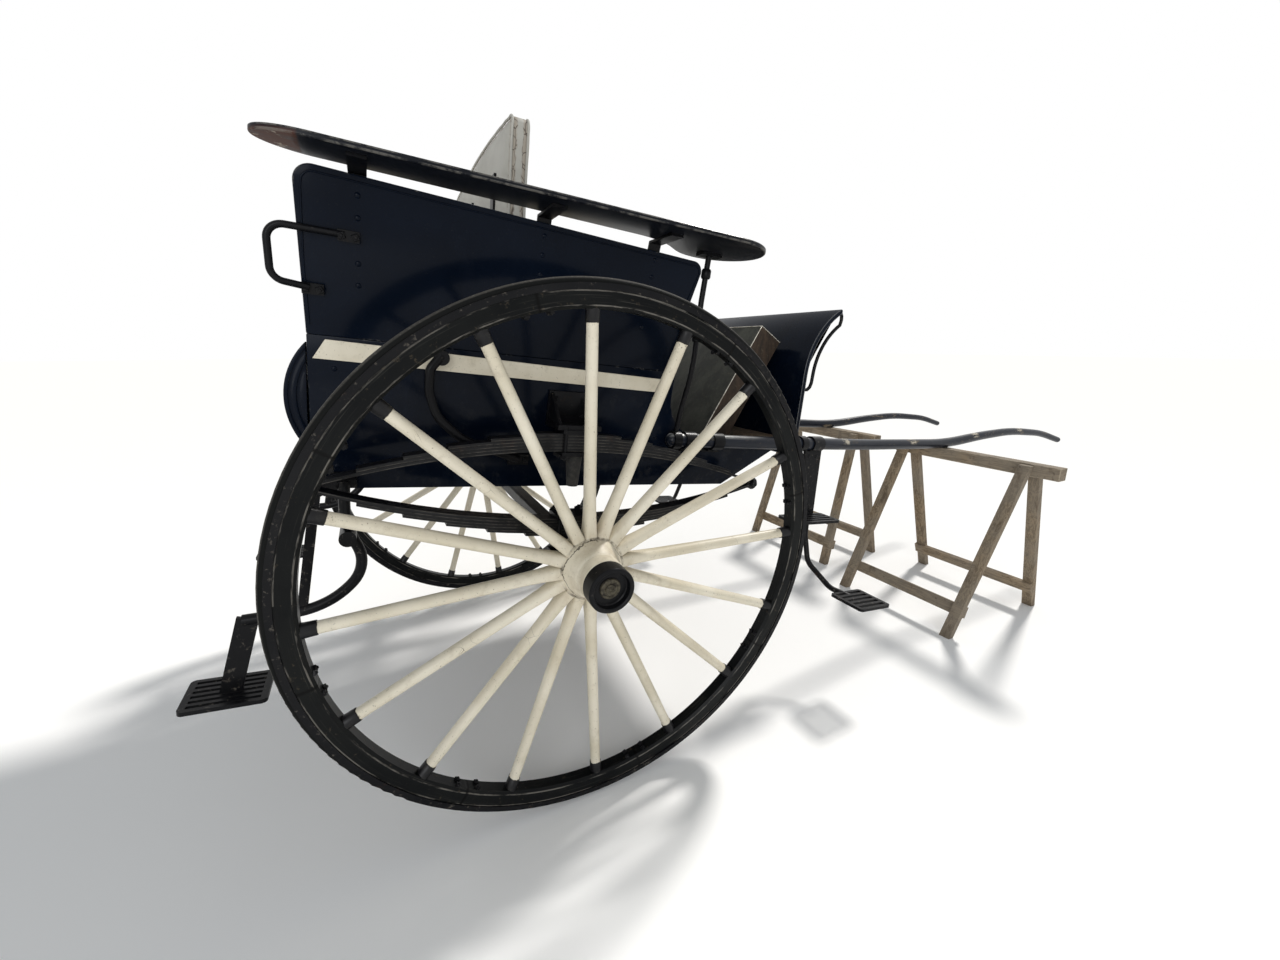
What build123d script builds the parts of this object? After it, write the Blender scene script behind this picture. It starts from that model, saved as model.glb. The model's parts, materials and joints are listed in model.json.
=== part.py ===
from build123d import *
import os
from math import asin, atan2, cos, degrees, radians, sin, sqrt, tan

# A two-wheeled dog cart: a light box body on two full elliptic springs, back-to-back seats and a pair of
# shafts that rest on two wooden trestles. Millimetres. Everything of the cart is drawn level, x forward,
# y left, z up, with the middle of the axle at the origin, and then tipped nose down onto the trestles.
# Right-hand pieces have negative y. Left-hand pieces are their mirror images.

# How it stands
nose_down = 6.5

# Gap left between pieces that are bolted together
fit_gap = 0.3

# Wheels: measured from the middle of the rim's plane
wheel_y = 759
camber = 2.9
dish = 35
spoke_count = 16
spoke_turn_right = 6.5
spoke_turn_left = 11
tyre_radius = 680
tyre_width = 38
tyre_depth = 20
rim_plate = 6
rim_lip = 8
rim_width = 50
felloe_depth = 38
felloe_width = 44
spoke_foot_radius = 60
spoke_foot_wide = 34
spoke_foot_deep = 46
spoke_neck_radius = 150
spoke_neck_wide = 30
spoke_neck_deep = 40
spoke_end_wide = 27
hub_radius = 78
hub_nose_radius = 58
hub_inner = -118
hub_nose = 70
cap_radius = 57
cap_front = 113
cap_wall = 6
cap_key = 26
arm_radius = 24
arm_gap = 0.08
arm_end = 88

# Axle
axle_size = 44
beam_end = 618
collar_radius = 40
collar_length = 31
collar_gap = 1.0

# Springs
spring_y = 560
leaf_width = 45
leaf_depth = 8
leaf_count = 6
leaf_step = 0.16
spring_half = 610
spring_rise = 92
eye_radius = 19
eye_bolt_radius = 9
eye_half = 9
pad_depth = 6
clip_plate = 10
clip_rod = 5
clip_half = 36
stop_radius = 22
stop_length = 86
bracket_half = 60
bracket_depth = 12
bracket_top = 420

# Body box: heights are above the axle's middle
floor_z = 142
floor_depth = 22
waist_z = 500
rail_z = 805
bottom_y = 450
waist_y = 505
rail_y = 580
side_depth = 20
upper_depth = 16
rear_x = -611
rear_low_z = 241
rear_foot_x = -575
sweep_points = [(325, 440), (360, 345), (470, 305)]
lower_points = [
    (600, 305), (640, 268), (774, 268), (585, floor_z), (rear_foot_x, floor_z),
    (rear_x, rear_low_z), (rear_x, waist_z), (325, waist_z),
]
upper_rear_top = (rear_x - 11, rail_z + 15)
upper_front_top = (334, rail_z - 5)
upper_points = [
    (rear_x, waist_z + fit_gap), upper_rear_top, upper_front_top,
    (316, 690), (318, 560), (300, waist_z + fit_gap),
]
upper_corners = {upper_rear_top: 35, upper_front_top: 28}
floor_rear_x = -569
toe_points = [
    (585, floor_z), (800, 285), (904, 285), (904, 305), (794, 305), (578.5, floor_z + floor_depth),
]
seat_z = 640
seat_depth = 20
seat_board_x = (-600, 300)
seat_cleat_x = (-420, -60, 150)
seat_cleat = (120, 24, 40)
board_gap = 0.5
bulkhead_x = (283, 301)
rear_rail_x = (-609, -593)
rear_rail_z = 490

# Waist rail, painted in a pale line
belt_depth = 4
belt_points = [(-576, 493), (274, 477), (262, 438), (-601, 450)]

# Tailboard with its rolled, reeded back
tail_half = 468
tail_top_z = 483
tail_bulge = 44
tail_depth = 18
tail_gap = 5
reed_count = 5
reed_step = 8
reed_proud = 3
cheek_depth = 16
tail_hinge = (-583, floor_z + 6)
tail_strap_x = (-560, -446)
tail_strap_depth = 6
tail_hinge_y = 330
tail_pin_radius = 4
tail_eye_radius = 9
tail_eye_half = 20
tail_lug = 12
tail_lug_gap = 0.6
pin_gap = 0.08

# Seats
cushion_depth = 72
cushion_gap = 10
cushion_corner = 30
front_seat = (-115, 295)
rear_seat = (-596, -245)
back_x = (-190, -130)
back_z = (735, 1080)
back_crown = 40
back_half = 470
back_shoulder = 45
back_iron_y = (-330, 0, 330)
back_iron_wide = 36
back_iron_depth = 8
back_iron_foot = 38
back_iron_top = 960

# Wings over the wheels, seen from above
wing_z = 829
wing_depth = 11
wing_rear = {"x": -575, "inner": -590, "outer": -704, "reach": 101}
wing_front = {"x": 340, "inner": -501, "outer": -745, "reach": 130}
wing_inner_bend = [(110, -594), (228, -557)]
wing_strap_x = (-510, -120, 180)
wing_strap_wide = 34
wing_strap_depth = 6
wing_strap_reach = 680
wing_stay = [
    (346, 575, 822), (346, 563, 700), (346, 560, 540), (347, 547, 480), (350, 515, 400), (350, 499, 319),
]
wing_stay_bends = [200, 200, 120, 120]
wing_stay_radius = 8
wing_stay_head = (60, 40, 8)
wing_stay_band = 26

# Handles and stays
handle_points = [(-533, 563, 705), (-668, 566, 703), (-664, 554, 600), (-600, 542, 594)]
handle_bends = [30, 26]
handle_radius = 7
handle_pad = (40, 22, 10)
handle_pad_shift = 6
stay_points = [
    (-337, 518, 482), (-363, 524, 448), (-364, 524, 394),
    (-345, 522, 335), (-285, 520, 281), (-130, 476, 225),
]
stay_bends = [28, 60, 80, 100]
stay_radius = 11
stay_boss = (18, 20)
stay_foot = (56, 30, 10)

# Dash
dash_x = 905
dash_foot_z = 285.2
dash_bend_z = 540
dash_radius = 296
dash_sweep = 55.9
dash_depth = 14
dash_post = 40
dash_post_wide = 18
dash_iron_high_run = [(14, 30), (50, 30), (6, -67)]
dash_iron_low_run = [(69, 133), (42, 19)]
dash_iron_bends = [11, 11, 300, 250, 24]
dash_iron_foot_z = 487
dash_iron_radius = 8
dash_boss_radius = 10
dash_boss_length = 12

# Inclined foot rest on the toe board
rest_corner = (796, 701)
rest_half = 295
rest_length = 475
rest_depth = 107
rest_lean = 63.1
rest_block_y = 200
rest_block_wide = 40
rest_block_z = (602, 640)
rest_gap = 1.1

# Shafts: centre line as x, half spacing, z
shaft_radius = 22
shaft_tip_radius = 15
shaft_points = [
    (340, 499, 296), (660, 499, 296), (1040, 448, 294), (1330, 398, 290), (1938, 352, 303),
    (2230, 350, 352), (2480, 350, 384), (2770, 351, 384), (2952, 357.5, 354),
]
shaft_even_count = 4
shaft_seat_x = (400, 505)
shaft_seat = (70, 44, 6)
shaft_seat_z = 280
band_wall = 6
band_wide = 40
bar_band_wide = 30

# Splinter bar under the dash
bar_x = (885, 935)
bar_z = (245, 284.7)
bar_end_gap = 0.5
bar_strap_depth = 6
bar_strap_reach = 34
dash_inset = 2
trace_y = 330
trace_eye = 22
trace_hole = 13
trace_depth = 10

# Steps
tread_depth = 10
tread_rim = 14
tread_corner = 12
front_step_x = 990
front_band_wide = 60
front_plate = [(949, 271), (1031, 271), (1043, 22), (1000, 22)]
front_plate_y = (444, 456)
front_lug_x = (1000, 1040)
high_tread = (970, 508, 18)
high_tread_size = (220, 104)
high_tread_bars = 4
low_tread = (1075, 709, -232)
low_tread_size = (150, 140)
low_tread_bars = 5
front_rod = [(1020, 450, 26), (1015, 460, -60), (1010, 500, -160), (1040, 600, -228), (1075, 670, -237)]
front_rod_bends = [120, 70, 70]
front_rod_radius = 10
rear_y = 480
rear_rod = [(-545, 168), (-545, 60), (-492, -52), (-585, -152), (-755, -163)]
rear_rod_bends = [220, 88, 175]
rear_rod_radius = 13
rear_knuckle = (-538, 34)
rear_knuckle_radius = 19
rear_knuckle_half = 40
rear_head = (54, 40, 8)
rear_web_z = (158, 172)
rear_strap = [(-564, 160), (-604, 138), (-636, -145)]
rear_strap_size = (22, 8)
rear_plate_top = (-744, -158)
rear_plate_size = (44, 10)
rear_tread = (-788, -341)
rear_tread_size = (166, 130)
rear_tread_bars = 6

# Trestles: they stand on the ground, so they are drawn upright and not tipped
trestle_x = 1960
beam_wide = 50
beam_deep = 52
leg_wide = 44
leg_deep = 27
stretcher_up = 110
stretcher_deep = 50
stretcher_wide = 20
beam_gap = 0.2
leg_top_gap = 6
trestles = [
    {"name": "right", "beam": (-852, -120), "tops": (-735, -180), "feet": (-684, -135), "spread": 315},
    {"name": "left", "beam": (14, 720), "tops": (140, 650), "feet": (128, 735), "spread": 195},
]

# Longer than the cart: for cutting blocks
beyond = 5000


def left_of(shape):
    return mirror(shape, about=Plane.XZ)


def group(*shapes):
    """Separate solids in one piece."""
    return Compound(children=[solid for shape in shapes for solid in shape.solids()])


def both(shape):
    """The piece and its mirror image on the other side, as separate solids."""
    return group(shape, left_of(shape))


def outer_y(z):
    """Half width over the side panels at a height."""
    if z <= waist_z:
        return bottom_y + (waist_y - bottom_y) * (z - floor_z) / (waist_z - floor_z)
    return waist_y + (rail_y - waist_y) * (z - waist_z) / (rail_z - waist_z)


def inner_y(z):
    return outer_y(z) - (side_depth if z <= waist_z else upper_depth) * 1.04 - board_gap


def panel_plane(y_low, z_low, y_high, z_high):
    """Outer face of a leaning right-hand side panel: x forward, y up its slope, z outwards."""
    lean = atan2(y_high - y_low, z_high - z_low)
    return Plane(origin=(0, -y_low, z_low), x_dir=(1, 0, 0), z_dir=(0, -cos(lean), -sin(lean))), 1 / cos(lean)


low_plane, low_stretch = panel_plane(bottom_y, floor_z, waist_y, waist_z)
high_plane, high_stretch = panel_plane(waist_y, waist_z, rail_y, rail_z)


def on_low(x, z):
    """A side view place turned into the lower panel's own place."""
    return (x, (z - floor_z) * low_stretch)


def on_high(x, z):
    return (x, (z - waist_z) * high_stretch)


def right(points):
    """Places listed with their half spacing, put on the right."""
    return [(x, -y, z) for x, y, z in points]


def rod(points, bends, radius):
    """A round bar along straight runs with an arc at each inner point."""
    path = FilletPolyline(*points, radius=bends) if len(points) > 2 else Line(*points)
    return sweep(Plane(origin=path @ 0, z_dir=path % 0) * Circle(radius), path=path)


def flat_bar(points, size, y):
    """A flat bar along straight runs in the side view, its depth across the cart."""
    wide, deep = size
    bar = None
    for p, q in zip(points, points[1:]):
        run = Vector(q[0] - p[0], 0, q[1] - p[1])
        plane = Plane(origin=(p[0], y, p[1]), x_dir=(0, 1, 0), z_dir=run.normalized())
        piece = extrude(plane * Rectangle(deep, wide), run.length)
        bar = piece if bar is None else bar + piece
    return bar


def side_view(points, half):
    """A closed side view outline made into a board across the cart."""
    return extrude(Plane.XZ * make_face(Polyline(*points, close=True)), half, both=True)


def block(x, y, z):
    """A box between two ends on each axis."""
    size = [b - a for a, b in (x, y, z)]
    return Pos((x[0] + x[1]) / 2, (y[0] + y[1]) / 2, (z[0] + z[1]) / 2) * Box(*[abs(s) for s in size])


def across(radius, length):
    """A cylinder along y, about its middle."""
    return Rot(90, 0, 0) * Cylinder(radius, length)


def upright(radius, length):
    """A cylinder that stands on its plane."""
    return Cylinder(radius, length, align=(Align.CENTER, Align.CENTER, Align.MIN))


def on_side(x, z, size):
    """A flat foot bolted to the right-hand lower side's outer face."""
    return low_plane * Pos(*on_low(x, z), fit_gap + size[2] / 2) * Box(*size)


def off_side(piece):
    """A fitting cut back to the right-hand lower side's outer face."""
    return piece - low_plane * Pos(0, 0, fit_gap - side_depth) * Box(beyond, beyond, 2 * side_depth)


# Wheels

wheel_out = (0, -cos(radians(camber)), -sin(radians(camber)))
wheel_plane = Plane(origin=(0, -wheel_y, 0), x_dir=(1, 0, 0), z_dir=wheel_out)
rim_outer = tyre_radius - tyre_depth
felloe_outer = rim_outer - rim_plate
felloe_inner = felloe_outer - felloe_depth


def ring(outer, inner, width):
    return Pos(0, 0, -width / 2) * extrude(Circle(outer) - Circle(inner), width)


def tyre():
    """Solid rubber tyre with a rounded tread."""
    section = Pos(rim_outer + tyre_depth / 2 + 0.2, 0) * Rectangle(tyre_depth - 0.4, tyre_width)
    corners = [v for v in section.vertices() if v.X > rim_outer + tyre_depth / 2]
    section = fillet(corners, tyre_depth * 0.55)
    return revolve(Plane.XZ * section, Axis.Z)


def rim():
    """Steel channel whose lips hold the tyre."""
    lip_wide = (rim_width - tyre_width) / 2 - 0.4
    plate = ring(rim_outer, felloe_outer + 0.2, rim_width)
    lip = extrude(Circle(rim_outer + rim_lip) - Circle(felloe_outer + 0.2), lip_wide)
    return plate + Pos(0, 0, rim_width / 2 - lip_wide) * lip + Pos(0, 0, -rim_width / 2) * lip


def felloe():
    band = ring(felloe_outer, felloe_inner, felloe_width)
    inner = [e for e in band.edges() if e.geom_type == GeomType.CIRCLE and abs(e.radius - felloe_inner) < 1]
    return chamfer(inner, 7)


def spoke_section(radius, wide, deep):
    z = -dish * (felloe_inner - radius) / (felloe_inner - spoke_foot_radius)
    return Plane(origin=(0, radius, z), x_dir=(1, 0, 0), z_dir=(0, 1, 0)) * Ellipse(wide / 2, deep / 2)


def spoke():
    """One spoke: oval foot and neck, round end, leaning out to the rim."""
    foot = spoke_section(spoke_foot_radius, spoke_foot_wide, spoke_foot_deep)
    neck = spoke_section(spoke_neck_radius, spoke_neck_wide, spoke_neck_deep)
    end = spoke_section(felloe_inner - 0.3, spoke_end_wide, spoke_end_wide)
    return loft([foot, neck], ruled=True) + loft([neck, end], ruled=True)


def hub():
    """Turned wooden hub with the spokes let into its belly."""
    bore = arm_radius + arm_gap
    belly = -dish
    tail = hub_radius - 24
    outline = [
        (bore, hub_inner), (tail, hub_inner), (tail, hub_inner + 20), (tail + 8, hub_inner + 24),
        (hub_radius - 4, belly - 32), (hub_radius, belly - 28), (hub_radius, belly + 28),
        (hub_radius - 4, belly + 32), (hub_nose_radius + 4, 30), (hub_nose_radius, 34),
        (hub_nose_radius, hub_nose), (bore, hub_nose),
    ]
    body = revolve(Plane.XZ * make_face(Polyline(*outline, close=True)), Axis.Z)
    one = spoke()
    for k in range(spoke_count):
        body = body + Rot(0, 0, 360 / spoke_count * k) * one
    return body


def hub_cap():
    """Black cap over the axle's nut, with a dished face and a square key boss."""
    face = cap_front - 12
    low = hub_nose + 0.3
    outline = [
        (0, face), (cap_radius - 16, face), (cap_radius - 12, cap_front), (cap_radius - 3, cap_front),
        (cap_radius, cap_front - 3), (cap_radius, low), (cap_radius - cap_wall, low),
        (cap_radius - cap_wall, face - 8), (0, face - 8),
    ]
    cap = revolve(Plane.XZ * make_face(Polyline(*outline, close=True)), Axis.Z)
    return cap + Pos(0, 0, face) * extrude(Rectangle(cap_key, cap_key), 8)


# Axle

axle_beam_z = (wheel_y - beam_end) * tan(radians(camber))


def axle():
    """Square beam with a round arm and collar at each end, leaning with the wheels."""
    beam = Pos(0, 0, axle_beam_z) * Box(axle_size, 2 * beam_end, axle_size)
    beam = chamfer(beam.edges().filter_by(Axis.Y), 6)
    inner = hub_inner - collar_gap - collar_length
    arm = Pos(0, 0, inner) * upright(arm_radius, arm_end - inner)
    collar = Pos(0, 0, inner) * upright(collar_radius, collar_length)
    end = wheel_plane.location * (arm + collar)
    return beam + end + left_of(end)


# Springs

low_stack_z = axle_beam_z + axle_size / 2 + pad_depth
low_master_z = low_stack_z + leaf_count * leaf_depth
eye_z = low_master_z + spring_rise
high_master_z = eye_z + spring_rise
high_stack_z = high_master_z + leaf_count * leaf_depth
bow_radius = (spring_half ** 2 + spring_rise ** 2) / (2 * spring_rise)
clip_out = leaf_width / 2 + clip_rod + 1
bow_drop = 0.7


def bow():
    """One bow of leaves, drawn as the upper one about its master leaf's middle."""
    stack = None
    for k in range(leaf_count):
        half = asin(spring_half / bow_radius) * (1 - leaf_step * k)
        lo = bow_radius + leaf_depth * k
        hi = lo + leaf_depth
        wide = leaf_width - 1.2 * (k % 2)
        inner = ThreePointArc((-lo * sin(half), lo * cos(half)), (0, lo), (lo * sin(half), lo * cos(half)))
        outer = ThreePointArc((-hi * sin(half), hi * cos(half)), (0, hi), (hi * sin(half), hi * cos(half)))
        face = make_face([inner, outer, Line(inner @ 0, outer @ 0), Line(inner @ 1, outer @ 1)])
        leaf = extrude(Plane.XZ * face, wide / 2, both=True)
        stack = leaf if stack is None else stack + leaf
    return Pos(0, -spring_y, -bow_radius) * stack


def springs_upper():
    """Upper bows: a single middle eye at each end, with the bolt through it."""
    high = Pos(0, 0, high_master_z) * bow()
    knuckle = leaf_width / 2 - eye_half
    for x in (-spring_half, spring_half):
        for side in (-1, 1):
            y = -spring_y + side * (eye_half + knuckle / 2)
            high = high - Pos(x, y, eye_z) * across(eye_radius + 2, knuckle + 2)
        high = high + Pos(x, -spring_y, eye_z) * across(eye_radius, 2 * eye_half)
        high = high + Pos(x, -spring_y, eye_z) * across(eye_bolt_radius, leaf_width + 26)
    return both(high)


def springs_lower():
    """Lower bows: a forked pair of eyes at each end around the upper ones."""
    low = Pos(0, 0, low_master_z) * mirror(bow(), about=Plane.XY)
    knuckle = leaf_width / 2 - eye_half
    for x in (-spring_half, spring_half):
        low = low - Pos(x, -spring_y, eye_z) * across(eye_radius + 2, 2 * eye_half + 1)
        for side in (-1, 1):
            y = -spring_y + side * (eye_half + 0.5 + (knuckle - 0.5) / 2)
            low = low + Pos(x, y, eye_z) * across(eye_radius, knuckle - 0.5)
        low = low - Pos(x, -spring_y, eye_z) * across(eye_bolt_radius + 0.3, leaf_width + 30)
    return both(low)


def clip(z_low, z_high):
    """Two plates pulled together by four rods around a spring's middle."""
    wide = 2 * clip_half + 22
    deep = 2 * clip_out + 20
    plates = Pos(0, -spring_y, z_low - clip_plate / 2) * Box(wide, deep, clip_plate)
    plates = plates + Pos(0, -spring_y, z_high + clip_plate / 2) * Box(wide, deep, clip_plate)
    for x in (-clip_half, clip_half):
        for side in (-1, 1):
            middle = Pos(x, -spring_y + side * clip_out, (z_low + z_high) / 2)
            plates = plates + middle * Cylinder(clip_rod, z_high - z_low + 2 * clip_plate + 16)
    return plates


def axle_clips():
    middle = Pos(0, -spring_y, low_stack_z - pad_depth / 2)
    pad = middle * Box(2 * clip_half - 14, leaf_width, pad_depth - 0.2)
    return both(group(clip(axle_beam_z - axle_size / 2 - 0.1, low_master_z + bow_drop), pad))


def body_brackets():
    """Iron seats that carry the body's sides on the upper bows."""
    z_top = high_stack_z + 0.1 + clip_plate
    z_plate = z_top + bracket_depth
    inner = outer_y(z_plate) + 1
    shelf = block((-bracket_half, bracket_half), (-spring_y - 32, -inner), (z_top - 0.5, z_plate))
    leg = low_plane * Pos(0, ((z_top + bracket_top) / 2 - floor_z) * low_stretch, 0.3)
    leg = leg * Pos(0, 0, 4.5) * Box(2 * bracket_half, (bracket_top - z_top) * low_stretch, 9)
    piece = clip(high_master_z - bow_drop, high_stack_z + 0.1) + shelf + leg
    for x in (-bracket_half + 8, bracket_half - 8):
        high = (-outer_y(bracket_top) - 8, bracket_top - 4)
        web = [(-spring_y - 28, z_plate - 1), high, (-inner - 4, z_plate - 1)]
        face = make_face(Polyline(*web, close=True))
        piece = piece + Pos(x - 4, 0, 0) * extrude(Plane.YZ * face, 8)
    return both(piece)


def bump_stops():
    top = high_master_z - bow_drop - clip_plate - 8.3
    taper = stop_length - 8
    stop = Pos(0, -spring_y, top - taper / 2) * Cone(stop_radius * 0.7, stop_radius, taper)
    return both(stop + Pos(0, -spring_y, top) * upright(stop_radius, 8.1))


# Body

def side_lower():
    """Lower side: box side behind, low foot-well side in front, joined by a concave sweep."""
    corners = [sweep_points[-1], *lower_points, sweep_points[0]]
    lines = [
        Polyline(*[on_low(x, z) for x, z in corners]),
        ThreePointArc(*[on_low(x, z) for x, z in sweep_points]),
    ]
    return extrude(low_plane * make_face(lines), -side_depth)


def side_upper():
    """Upper side, flared out over the spring."""
    face = make_face(Polyline(*[on_high(x, z) for x, z in upper_points], close=True))
    for corner, radius in upper_corners.items():
        x, y = on_high(*corner)
        vertex = [v for v in face.vertices() if abs(v.X - x) < 0.5 and abs(v.Y - y) < 0.5]
        face = fillet(vertex, radius)
    return extrude(high_plane * face, -upper_depth)


def belt_rails():
    outline = Polyline(*[on_low(x, z) for x, z in belt_points], close=True)
    return both(extrude(low_plane.offset(0.1) * make_face(outline), belt_depth))


def cross_board(x, z_low, z_high):
    """A board across the body, cut to the slope of its sides."""
    heights = [z_low, z_high] if z_low >= waist_z or z_high <= waist_z else [z_low, waist_z, z_high]
    edge = [(-inner_y(z) + (4 if z == waist_z else 0), z) for z in heights]
    outline = Polyline(*edge, *[(-y, z) for y, z in reversed(edge)], close=True)
    return Pos(x[0], 0, 0) * extrude(Plane.YZ * make_face(outline), x[1] - x[0])


def cross_boards():
    """Bulkhead below the front of the seat, and the rail above the tailboard."""
    under_seat = seat_z - seat_depth - 0.2
    bulkhead = cross_board(bulkhead_x, floor_z, under_seat)
    rail = cross_board(rear_rail_x, rear_rail_z, under_seat)
    return group(bulkhead, rail)


def floor():
    """Luggage floor behind the bulkhead; before it the driver's floor, turned up into a toe board."""
    half = inner_y(floor_z)
    depth = (floor_z, floor_z + floor_depth)
    rear = block((floor_rear_x, bulkhead_x[0] - board_gap), (-half, half), depth)
    front = block((bulkhead_x[1] + board_gap, toe_points[0][0]), (-half, half), depth)
    return group(rear, front + side_view(toe_points, half))


def seat_board():
    """Board under both seats, on cleats along the sides."""
    low = seat_z - seat_depth
    half = inner_y(low)
    board = block(seat_board_x, (-half, half), (low, seat_z))
    length, wide, deep = seat_cleat
    cleat_y = inner_y(low - deep) - wide / 2 - board_gap
    for x in seat_cleat_x:
        for side in (-1, 1):
            board = board + Pos(x, side * cleat_y, low - deep / 2) * Box(*seat_cleat)
    return board


# Tailboard: closed at rest, hinged along its foot

tail_x = rear_x - tail_gap
tail_low_z = rear_low_z
tail_chord = tail_top_z - tail_low_z
roll_radius = ((tail_chord / 2) ** 2 + tail_bulge ** 2) / (2 * tail_bulge)
roll_z = (tail_top_z + tail_low_z) / 2
roll_x = tail_x - tail_bulge + roll_radius


def roll_segment(radius):
    """Half-moon between the tailboard's flat inner face and its rolled back."""
    behind = Pos(tail_x - roll_radius, roll_z) * Rectangle(2 * roll_radius, 2 * roll_radius)
    return (Pos(roll_x, roll_z) * Circle(radius)) & behind


def lug_places(y):
    """Middles of the two lugs beside an eye."""
    out = tail_eye_half + tail_lug / 2 + tail_lug_gap
    return y - out, y + out


def tailboard():
    """Rolled back panel with reeded ends, and a foot that runs in to the hinge."""
    shell = roll_segment(roll_radius) - roll_segment(roll_radius - tail_depth)
    board = extrude(Plane.XZ * shell, tail_half - cheek_depth + 1, both=True)
    for k in range(reed_count):
        band = roll_segment(roll_radius - reed_step * k)
        if k < reed_count - 1:
            band = band - roll_segment(roll_radius - reed_step * (k + 1))
        depth = cheek_depth + (reed_proud if k % 2 == 0 else 0)
        end = Pos(0, -tail_half + cheek_depth, 0) * extrude(Plane.XZ * band, depth)
        board = board + end + left_of(end)
    x, z = tail_hinge
    foot = [
        (tail_x, tail_low_z + 34), (tail_x - 10.5, tail_low_z + 14), (x - 11.5, z - 1.9),
        (x - 0.2, z + 2), (tail_x, tail_low_z - 1.7),
    ]
    board = board + side_view(foot, tail_half)
    for side in (-1, 1):
        for y in lug_places(side * tail_hinge_y):
            board = board - Pos(x, y, z) * across(tail_eye_radius + 2, tail_lug + 2 * tail_lug_gap)
        middle = Pos(x, side * tail_hinge_y, z)
        board = board + middle * across(tail_eye_radius, 2 * tail_eye_half)
        board = board - middle * across(tail_pin_radius + pin_gap, 2 * tail_eye_half + 40)
    return board


def tail_hinges():
    """Pins, lugs and straps under the floor on which the tailboard turns."""
    x, z = tail_hinge
    front = tail_strap_x[0]
    high = floor_z - fit_gap
    low = high - tail_strap_depth
    half = tail_eye_half + tail_lug + tail_lug_gap
    plate = block(tail_strap_x, (-tail_hinge_y - half, -tail_hinge_y + half), (low, high))
    hinge = plate + Pos(x, -tail_hinge_y, z) * across(tail_pin_radius, 2 * half + 6)
    arm = [(x, z - tail_eye_radius), (front + 4, low), (front + 4, high), (x + 12, high), (x + 7, z + 5)]
    for y in lug_places(-tail_hinge_y):
        lug = Pos(x, y, z) * across(tail_eye_radius, tail_lug)
        hinge = hinge + lug + Pos(0, y, 0) * side_view(arm, tail_lug / 2)
    return both(hinge)


# Seats

def cushion(span):
    half = inner_y(seat_z) - cushion_gap
    pad = block(span, (-half, half), (seat_z + fit_gap, seat_z + cushion_depth))
    return fillet(pad.edges().filter_by(Axis.Z), cushion_corner)


def backrest():
    """Padded back rail between the two seats, its top crowned towards the middle."""
    low, high = back_z
    half = back_half
    inset = back_half - back_shoulder
    drop = high - back_shoulder
    nook = back_shoulder * (1 - sqrt(0.5))
    lines = [
        ThreePointArc((-half, drop), (-half + nook, high - nook), (-inset, high)),
        ThreePointArc((-inset, high), (0, high + back_crown), (inset, high)),
        ThreePointArc((inset, high), (half - nook, high - nook), (half, drop)),
        Polyline((half, drop), (half, low), (-half, low), (-half, drop)),
    ]
    return Pos(back_x[0], 0, 0) * extrude(Plane.YZ * make_face(lines), back_x[1] - back_x[0])


def back_irons():
    """Flat irons that stand on the seat board and hold the back rail from behind."""
    x = back_x[0] - fit_gap
    low = seat_z + fit_gap
    irons = []
    for y in back_iron_y:
        wide = (y - back_iron_wide / 2, y + back_iron_wide / 2)
        post = block((x - back_iron_depth, x), wide, (low, back_iron_top))
        foot = block((x - back_iron_foot, x), wide, (low, low + back_iron_depth))
        irons.append(post + foot)
    return group(*irons)


# Wings

def wing():
    """A thin board with oval ends, wider in front: the right-hand one, seen from above."""
    lines = []
    for end, start in ((wing_rear, 90), (wing_front, -90)):
        middle = (end["x"], (end["inner"] + end["outer"]) / 2)
        half = (end["inner"] - end["outer"]) / 2
        lines.append(EllipticalCenterArc(middle, end["reach"], half, start, arc_size=180))
    rear = (wing_rear["x"], wing_rear["inner"])
    front = (wing_front["x"], wing_front["inner"])
    lines.append(Line(rear, wing_inner_bend[0]))
    lines.append(Spline(*wing_inner_bend, front, tangents=[(1, 0), (1, 0)]))
    lines.append(Line((wing_rear["x"], wing_rear["outer"]), (wing_front["x"], wing_front["outer"])))
    return Pos(0, 0, wing_z) * extrude(make_face(lines), wing_depth)


def wing_irons():
    """Straps inside each upper side that carry the wing, and the long front stay down to the shaft."""
    under = wing_z - fit_gap
    over = block((-beyond, beyond), (-beyond, 0), (under, beyond))
    low = (seat_z + 2 - waist_z) * high_stretch
    high = (wing_z - waist_z) * high_stretch
    in_out = (-wing_strap_reach, -outer_y(wing_z) + upper_depth + wing_strap_depth)
    pieces = []
    for x in wing_strap_x:
        middle = Pos(x, (low + high) / 2, -upper_depth - fit_gap - wing_strap_depth / 2)
        strap = high_plane * middle * Box(wing_strap_wide, high - low, wing_strap_depth)
        along = (x - wing_strap_wide / 2, x + wing_strap_wide / 2)
        pieces.append(strap + block(along, in_out, (under - wing_strap_depth, under)) - over)
    stay = rod(right(wing_stay), wing_stay_bends, wing_stay_radius)
    x, y, _ = wing_stay[0]
    head = Pos(x, -y, under - wing_stay_head[2] / 2) * Box(*wing_stay_head)
    band = band_at(wing_stay[-1][0], wing_stay_band)
    pieces.append(off_side(stay + head + band - shaft_space))
    return both(group(*pieces))


# Handles and stays

def grab_handles():
    """Bent round-iron handles behind the upper sides, their ends flattened onto the panel."""
    loop = rod(right(handle_points), handle_bends, handle_radius)
    for x, _, z in (handle_points[0], handle_points[-1]):
        place = Pos(*on_high(x + handle_pad_shift, z), fit_gap + handle_pad[2] / 2)
        loop = loop + high_plane * place * Box(*handle_pad)
    return both(loop)


def body_stays():
    """Curved irons from a boss on each side's waist round to its foot, behind the spring."""
    stay = rod(right(stay_points), stay_bends, stay_radius)
    x, _, z = stay_points[0]
    boss = low_plane * Pos(*on_low(x, z - 2), belt_depth + fit_gap + 0.1) * upright(*stay_boss)
    x, _, z = stay_points[-1]
    return both(stay + boss + on_side(x + 2, z, stay_foot))


# Dash

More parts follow.
